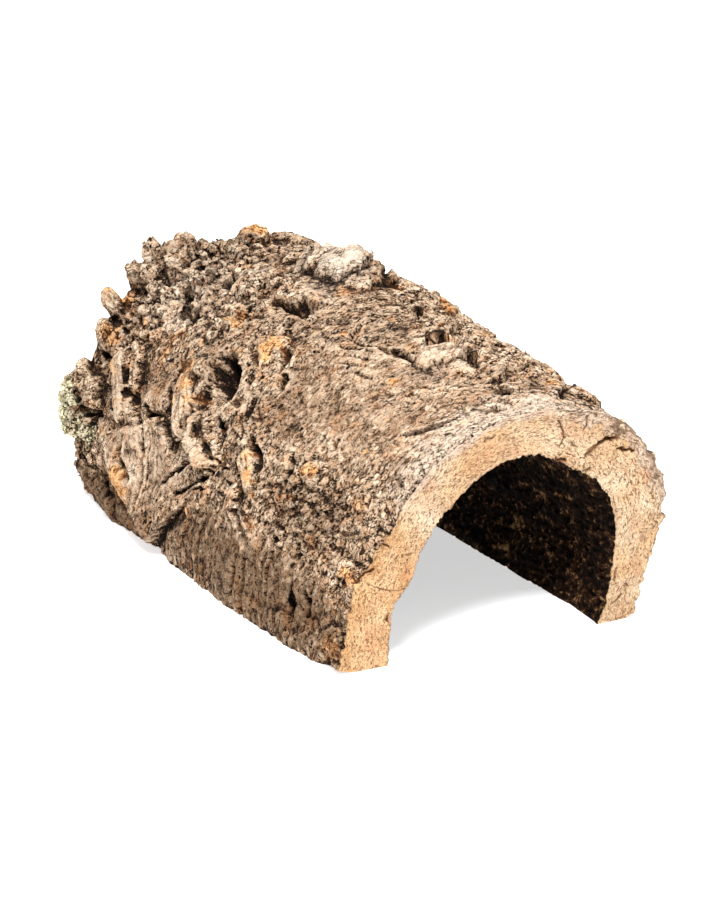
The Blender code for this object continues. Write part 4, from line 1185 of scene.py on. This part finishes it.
sawnFace = {
    "thickness": 27.0,  # of the wall, in mm
    "degree": 1.7,  # length of a degree at the middle of the wall, in mm
    # grain of the sawn cork: sizes around the arch and across the wall in mm, then the pattern's seed
    "grain": ((2.6, 2.6, 9), 81),
    "pits": ((3.4, 3.4, 9), 83, 0.45),  # and the share of their places that has one
    "finePits": ((1.9, 1.9, 9), 85, 0.4),
    # paths of (degrees, share of the wall from the inside), half width, depth, how dark the crack is
    # painted (painted shade, partly the crack's own dark colour)
    "cracks": (
        (((73.5, 0.78), (71.5, 0.62), (70.4, 0.45), (71.0, 0.26)), 0.8, 1.4, 0.5),
        (((65.8, 0.88), (65.0, 0.78), (65.2, 0.68)), 0.7, 1.0, 0.5),
        (((60.6, 0.28), (59.4, 0.46), (57.2, 0.64), (54.6, 0.74)), 2.2, 2.6, 0.22),
        (((58.6, 0.52), (57.0, 0.64), (55.2, 0.72)), 1.5, 1.6, 0.5),
        (((53.0, 0.60), (50.5, 0.70), (48.5, 0.80)), 1.0, 2.0, 0.6),
        (((70.8, 0.04), (67.5, 0.06)), 1.4, 2.0, 0.8),
        (((60, 0.05), (57.5, 0.10)), 1.0, 1.4, 0.5),
        (((67.6, 0.42), (66.8, 0.34)), 1.3, 0.9, 0.25),
        (((137.5, 1.0), (137.0, 0.84)), 1.2, 2.0, 0.6),
        (((152, 1.0), (148.5, 0.93), (146, 0.86)), 1.3, 2.2, 0.6),
        (((151, 0.80), (150.8, 0.42), (149.5, 0.15), (146.5, 0.0)), 0.8, 0.8, 0.3),
        (((137, 0.42), (133, 0.22)), 0.7, 0.8, 0.3),
        (((160, 0.06), (163, 0.10)), 1.4, 1.6, 0.5),
        (((20, 0.15), (16, 0.10)), 1.2, 1.2, 0.4),
        (((6, 0.2), (8, 0.45)), 1.2, 1.2, 0.4),
        (((12, 0.5), (9, 0.6)), 1.2, 1.0, 0.3),
        (((95, 0.75), (92, 0.7)), 1.0, 1.0, 0.3),
        (((109, 0.35), (107, 0.28)), 1.0, 0.8, 0.3),
    ),
}


def makeSawnEnds(grid, outer, inner):
    points, faces = [], []
    fields = {"run": [], "edge": [], "bleached": [], "paintedShadeAndTone": [], "fresh": []}
    thick, degree = sawnFace["thickness"], sawnFace["degree"]

    def add(layer, flip, **own):
        start = sum(len(p) for p in points)
        ids = start + np.arange(layer[..., 0].size).reshape(layer.shape[:2])
        points.append(layer.reshape(-1, 3))
        faces.append(quadsOf(ids)[:, ::-1] if flip else quadsOf(ids))
        for key, values in own.items():
            kind = values.shape[2:]
            fields[key].append(np.broadcast_to(values, layer.shape[:2] + kind).reshape(-1, *kind))

    # The front face and the back one
    for column, strips, sign in ((0, tube["faceStrips"], 1), (-1, tube["faceStrips"] // 2, -1)):
        degrees = grid["degrees"][:, column]
        share = np.linspace(0, 1, strips + 1)[:, None]
        layer = inner[None, :, column] + share[..., None] * (outer - inner)[None, :, column]
        low = np.clip(1 - (layer[..., 2] / 8), 0, 1)
        layer[..., 2] -= np.minimum(2.4 * low * np.sin(np.pi * share) ** 0.7, np.maximum(layer[..., 2], 0))
        around = np.broadcast_to(degrees * degree, layer.shape[:2])
        across = np.broadcast_to(share * thick, layer.shape[:2])
        place = (around, across, 0 * around)
        chip = 0.30 * np.abs(solidNoise(place, *sawnFace["grain"]))
        chip = chip + 0.4 * softNoise(around / 14, across / 11, 82)
        chip = chip + 0.7 * scatteredPits(place, *sawnFace["pits"])
        chip = chip + 0.4 * scatteredPits(place, *sawnFace["finePits"])
        dark = 0 * chip
        wander = 0.8 * softNoise(around / 3, across / 3, 84)
        if column == 0:
            for path, halfWidth, depth, shade in sawnFace["cracks"]:
                line = np.array([(angle * degree, part * thick) for angle, part in path])
                distance = follow(line, around + wander, across + wander)[0]
                crack = smoothStep(1.3 * (1 - distance / halfWidth))
                chip = chip + depth * crack
                dark = np.maximum(dark, shade * crack)
        chip = chip * np.sin(np.pi * np.clip(share, 0, 1)) ** 0.35
        layer[..., 1] += sign * chip
        run = np.stack([across, around, 0 * across], -1)
        # Darker edges, and the grey bark that laps over the outer part on the right
        edge = smoothStep((share - 0.965) / 0.035) * smoothStep((degrees - 118) / 14)
        edge = np.maximum(edge, 0.6 * smoothStep((0.03 - share) / 0.03))
        crust = smoothStep((share - 0.72 + 0.16 * softNoise(around / 6, across / 5, 86)) / 0.16)
        crust = crust * between(degrees, 26, 12, 74, 8)
        weathered = 0.7 * crust
        streaks = softNoise(around / 9 + wander, across / 1.4 + wander, 88)
        crust = crust * np.clip(0.35 + 1.3 * streaks, 0, 0.9)
        skin = smoothStep((share - 0.955) / 0.03) * between(degrees, 14, 8, 80, 10)
        edge = np.maximum(edge, 0.9 * skin)
        edge = edge * np.clip(0.7 + 0.6 * softNoise(around / 5, across / 5, 85), 0, 1)
        edge = np.maximum(edge, crust)
        pale = smoothStep((share - 0.80 + 0.12 * softNoise(around / 9, across / 9, 87)) / 0.2)
        pale = pale * between(degrees, 62, 20, 130, 14)
        # Painted shade: the deeper a chip, the darker, and each crack darker by its painted shade, partly
        # its own dark colour
        level = 0.70 - 0.06 * chip - 0.7 * dark
        pale = np.maximum(pale * (0.8 if column == 0 else 0.2), weathered)
        fresh = smoothStep((degrees - 112) / 30) + 0 * level
        add(layer, sign < 0, run=run, edge=edge, bleached=pale, paintedShadeAndTone=level, fresh=fresh)
    # The undersides of both feet
    for row in (0, -1):
        share = np.linspace(0, 1, tube["footStrips"] + 1)[:, None]
        layer = inner[row][None] + share[..., None] * (outer[row] - inner[row])[None]
        along = np.broadcast_to(grid["s"][row], layer.shape[:2])
        across = np.broadcast_to(share * thick, layer.shape[:2])
        ragged = np.abs(softNoise(along / 4, across / 4, 88))
        ragged = ragged + np.abs(softNoise(along / 1.7, across / 1.7, 89))
        ragged = 0.35 * ragged * np.sin(np.pi * share) ** 0.5
        layer[..., 2] += ragged * offEnds(along, tube["length"], 4)
        flat = np.zeros(layer.shape[:2])
        run = np.stack([across, along, flat], -1)
        add(layer, row == 0, run=run, edge=flat + 0.25, bleached=flat, paintedShadeAndTone=flat + 0.6, fresh=flat)
    merged = {key: np.concatenate(values) for key, values in fields.items()}
    piece = meshPiece("sawnEnds", np.concatenate(points), np.concatenate(faces), merged, sawnMaterial())
    standFor(piece)
    print("sawnEnds", 2 * sum(len(f) for f in faces), "triangles")


# The dark inside: sizes along, around and up in mm, then the seed of their pattern
tunnel = {
    "lumps": ((9, 7, 9), 91),
    "plates": ((5, 4, 9), 93),
    "crumbs": ((2.2, 2.2, 9), 94),
    "dust": ((4, 4, 9), 95),
    "dustHeight": 30,  # the dust ends so many mm above the floor
}


def makeInside(grid, inner, ripples):
    # Every third column and every second row are enough in the dark
    points, s, t = (field[::2, ::3] for field in (inner, grid["s"], grid["t"]))
    place = (s, t, 0 * s)
    lumps = 1.1 * solidClouds(place, *tunnel["lumps"]) + tiltedPlates(place, *tunnel["plates"])[0]
    lumps += 0.5 * solidNoise(place, *tunnel["crumbs"])
    lumps *= offEnds(s, tube["length"], 3) * offEnds(t, t.max(), 2)
    points = points - gridNormals(points) * lumps[..., None]
    # Painted shade: darker where the ripples and lumps are low, lighter where they are high
    level = 0.5 + 0.3 * (ripples - blur(ripples, 12))[::2, ::3] + 0.25 * lumps
    low = np.clip(1 - points[..., 2] / tunnel["dustHeight"], 0, 1)
    level = level + 0.16 * low * smoothStep(0.6 + 1.4 * solidNoise(place, *tunnel["dust"]))
    faces = quadsOf(np.arange(s.size).reshape(s.shape))
    fields = {"paintedShadeAndTone": level.ravel()}
    piece = meshPiece("tunnelWall", points.reshape(-1, 3), faces, fields, insideMaterial())
    standFor(piece)
    print("tunnelWall", 2 * len(faces), "triangles")


studio = {
    "azimuth": -28.0,
    "elevation": 19.0,
    "lens": 180.0,
    "eye": (-1.0154, -1.9166, 0.7982),
    "lights": {
        "key": {"place": (-0.35, -0.80, 1.45), "aim": (0, 0, 0.05), "size": 0.35, "power": 34.0},
        "fill": {"place": (1.3, -0.6, 0.9), "aim": (0, 0, 0.05), "size": 2.2, "power": 6.0},
        "sweep": {"place": (0.9, 2.6, 2.2), "aim": (0.9, 2.9, 0), "size": 2.0, "power": 60.0},
    },
    "sky": 0.52,
    "floor": 6.0,  # from its middle to each side
}


def makeStudio():
    scene = bpy.context.scene
    camera = bpy.data.cameras.new("camera")
    camera.lens, camera.sensor_width = studio["lens"], 36.0
    holder = bpy.data.objects.new("camera", camera)
    holder.location = studio["eye"]
    holder.rotation_euler = (math.radians(90 - studio["elevation"]), 0, math.radians(studio["azimuth"]))
    scene.collection.objects.link(holder)
    scene.camera = holder
    for name, row in studio["lights"].items():
        light = bpy.data.lights.new(name, "AREA")
        light.energy, light.size = row["power"], row["size"]
        lamp = bpy.data.objects.new(name, light)
        lamp.location = row["place"]
        aim = Vector(row["aim"]) - lamp.location
        lamp.rotation_euler = aim.to_track_quat("-Z", "Y").to_euler()
        scene.collection.objects.link(lamp)
    world = bpy.data.worlds.new("sky")
    world.use_nodes = True
    sky = world.node_tree.nodes["Background"]
    sky.inputs["Color"].default_value = (1, 1, 1, 1)
    sky.inputs["Strength"].default_value = studio["sky"]
    scene.world = world
    scene.view_settings.view_transform = "Standard"
    floor = bpy.data.meshes.new("floor")
    far = studio["floor"]
    floor.from_pydata([(-far, -far, 0), (far, -far, 0), (far, far, 0), (-far, far, 0)], [], [(0, 1, 2, 3)])
    floor.materials.append(floorMaterial())
    sweep = bpy.data.objects.new("floor", floor)
    scene.collection.objects.link(sweep)
    print("studio ready")


# The painted shade of each point, from its height against its neighbours: 0 in a deep hollow, 1 on a
# raised edge, painted light
def shadeOf(total, rough, calm):
    hollow = 0.36 * np.clip((total - blur(total, 2)) / 0.35, -1.4, 1)
    hollow += (0.18 - 0.06 * calm) * np.clip(total - blur(total, 6), -1.4, 1)
    hollow += 0.26 * np.clip((total - blur(total, 18) + 1.2) / 3.0, -1.6, 0.3)
    hollow /= 1 + 0.18 * np.clip(rough - 0.6, 0, 3)
    hollow += 0.08 * np.clip(rough - 1.0, 0, 2.4)
    hollow *= 1 - 0.25 * calm * (hollow < 0)
    return np.clip(0.5 + 0.5 * hollow, 0, 1)


makeStudio()
grid = makeGrid()
grid = crowdLines(grid, barkForms(grid)[0])
height, rough, ribs, mask = barkForms(grid)
print("bark forms", height.min().round(1), height.max().round(1))
fine, calm, tone = barkDetail(grid, height, rough, ribs, mask)
outer, inner, ripples = barkPoints(grid, height, fine)
fields = {
    # painted shade: darker in hollows, lighter on raised edges
    "paintedShadeAndTone": shadeOf(height + fine, rough, calm),
    "fresh": zones(grid, tint["fresh"], 0.55),
    "bleached": zones(grid, tint["bleached"], 0.35),
    "shadeAndGrime": zones(grid, tint["shadeAndGrime"], 0.35),
    "lichen": zones(grid, tint["lichen"], 0.5),
    "tone": tone,
    "calm": calm,
    "run": np.stack([grid["s"], grid["t"], 0.9 * height], -1),
}
bark = barkMaterial()
normals = makeBark(outer, fields, bark)
makeLoose(grid, outer, normals, fields, rough, bark)
makeSawnEnds(grid, outer, inner)
makeInside(grid, inner, ripples)
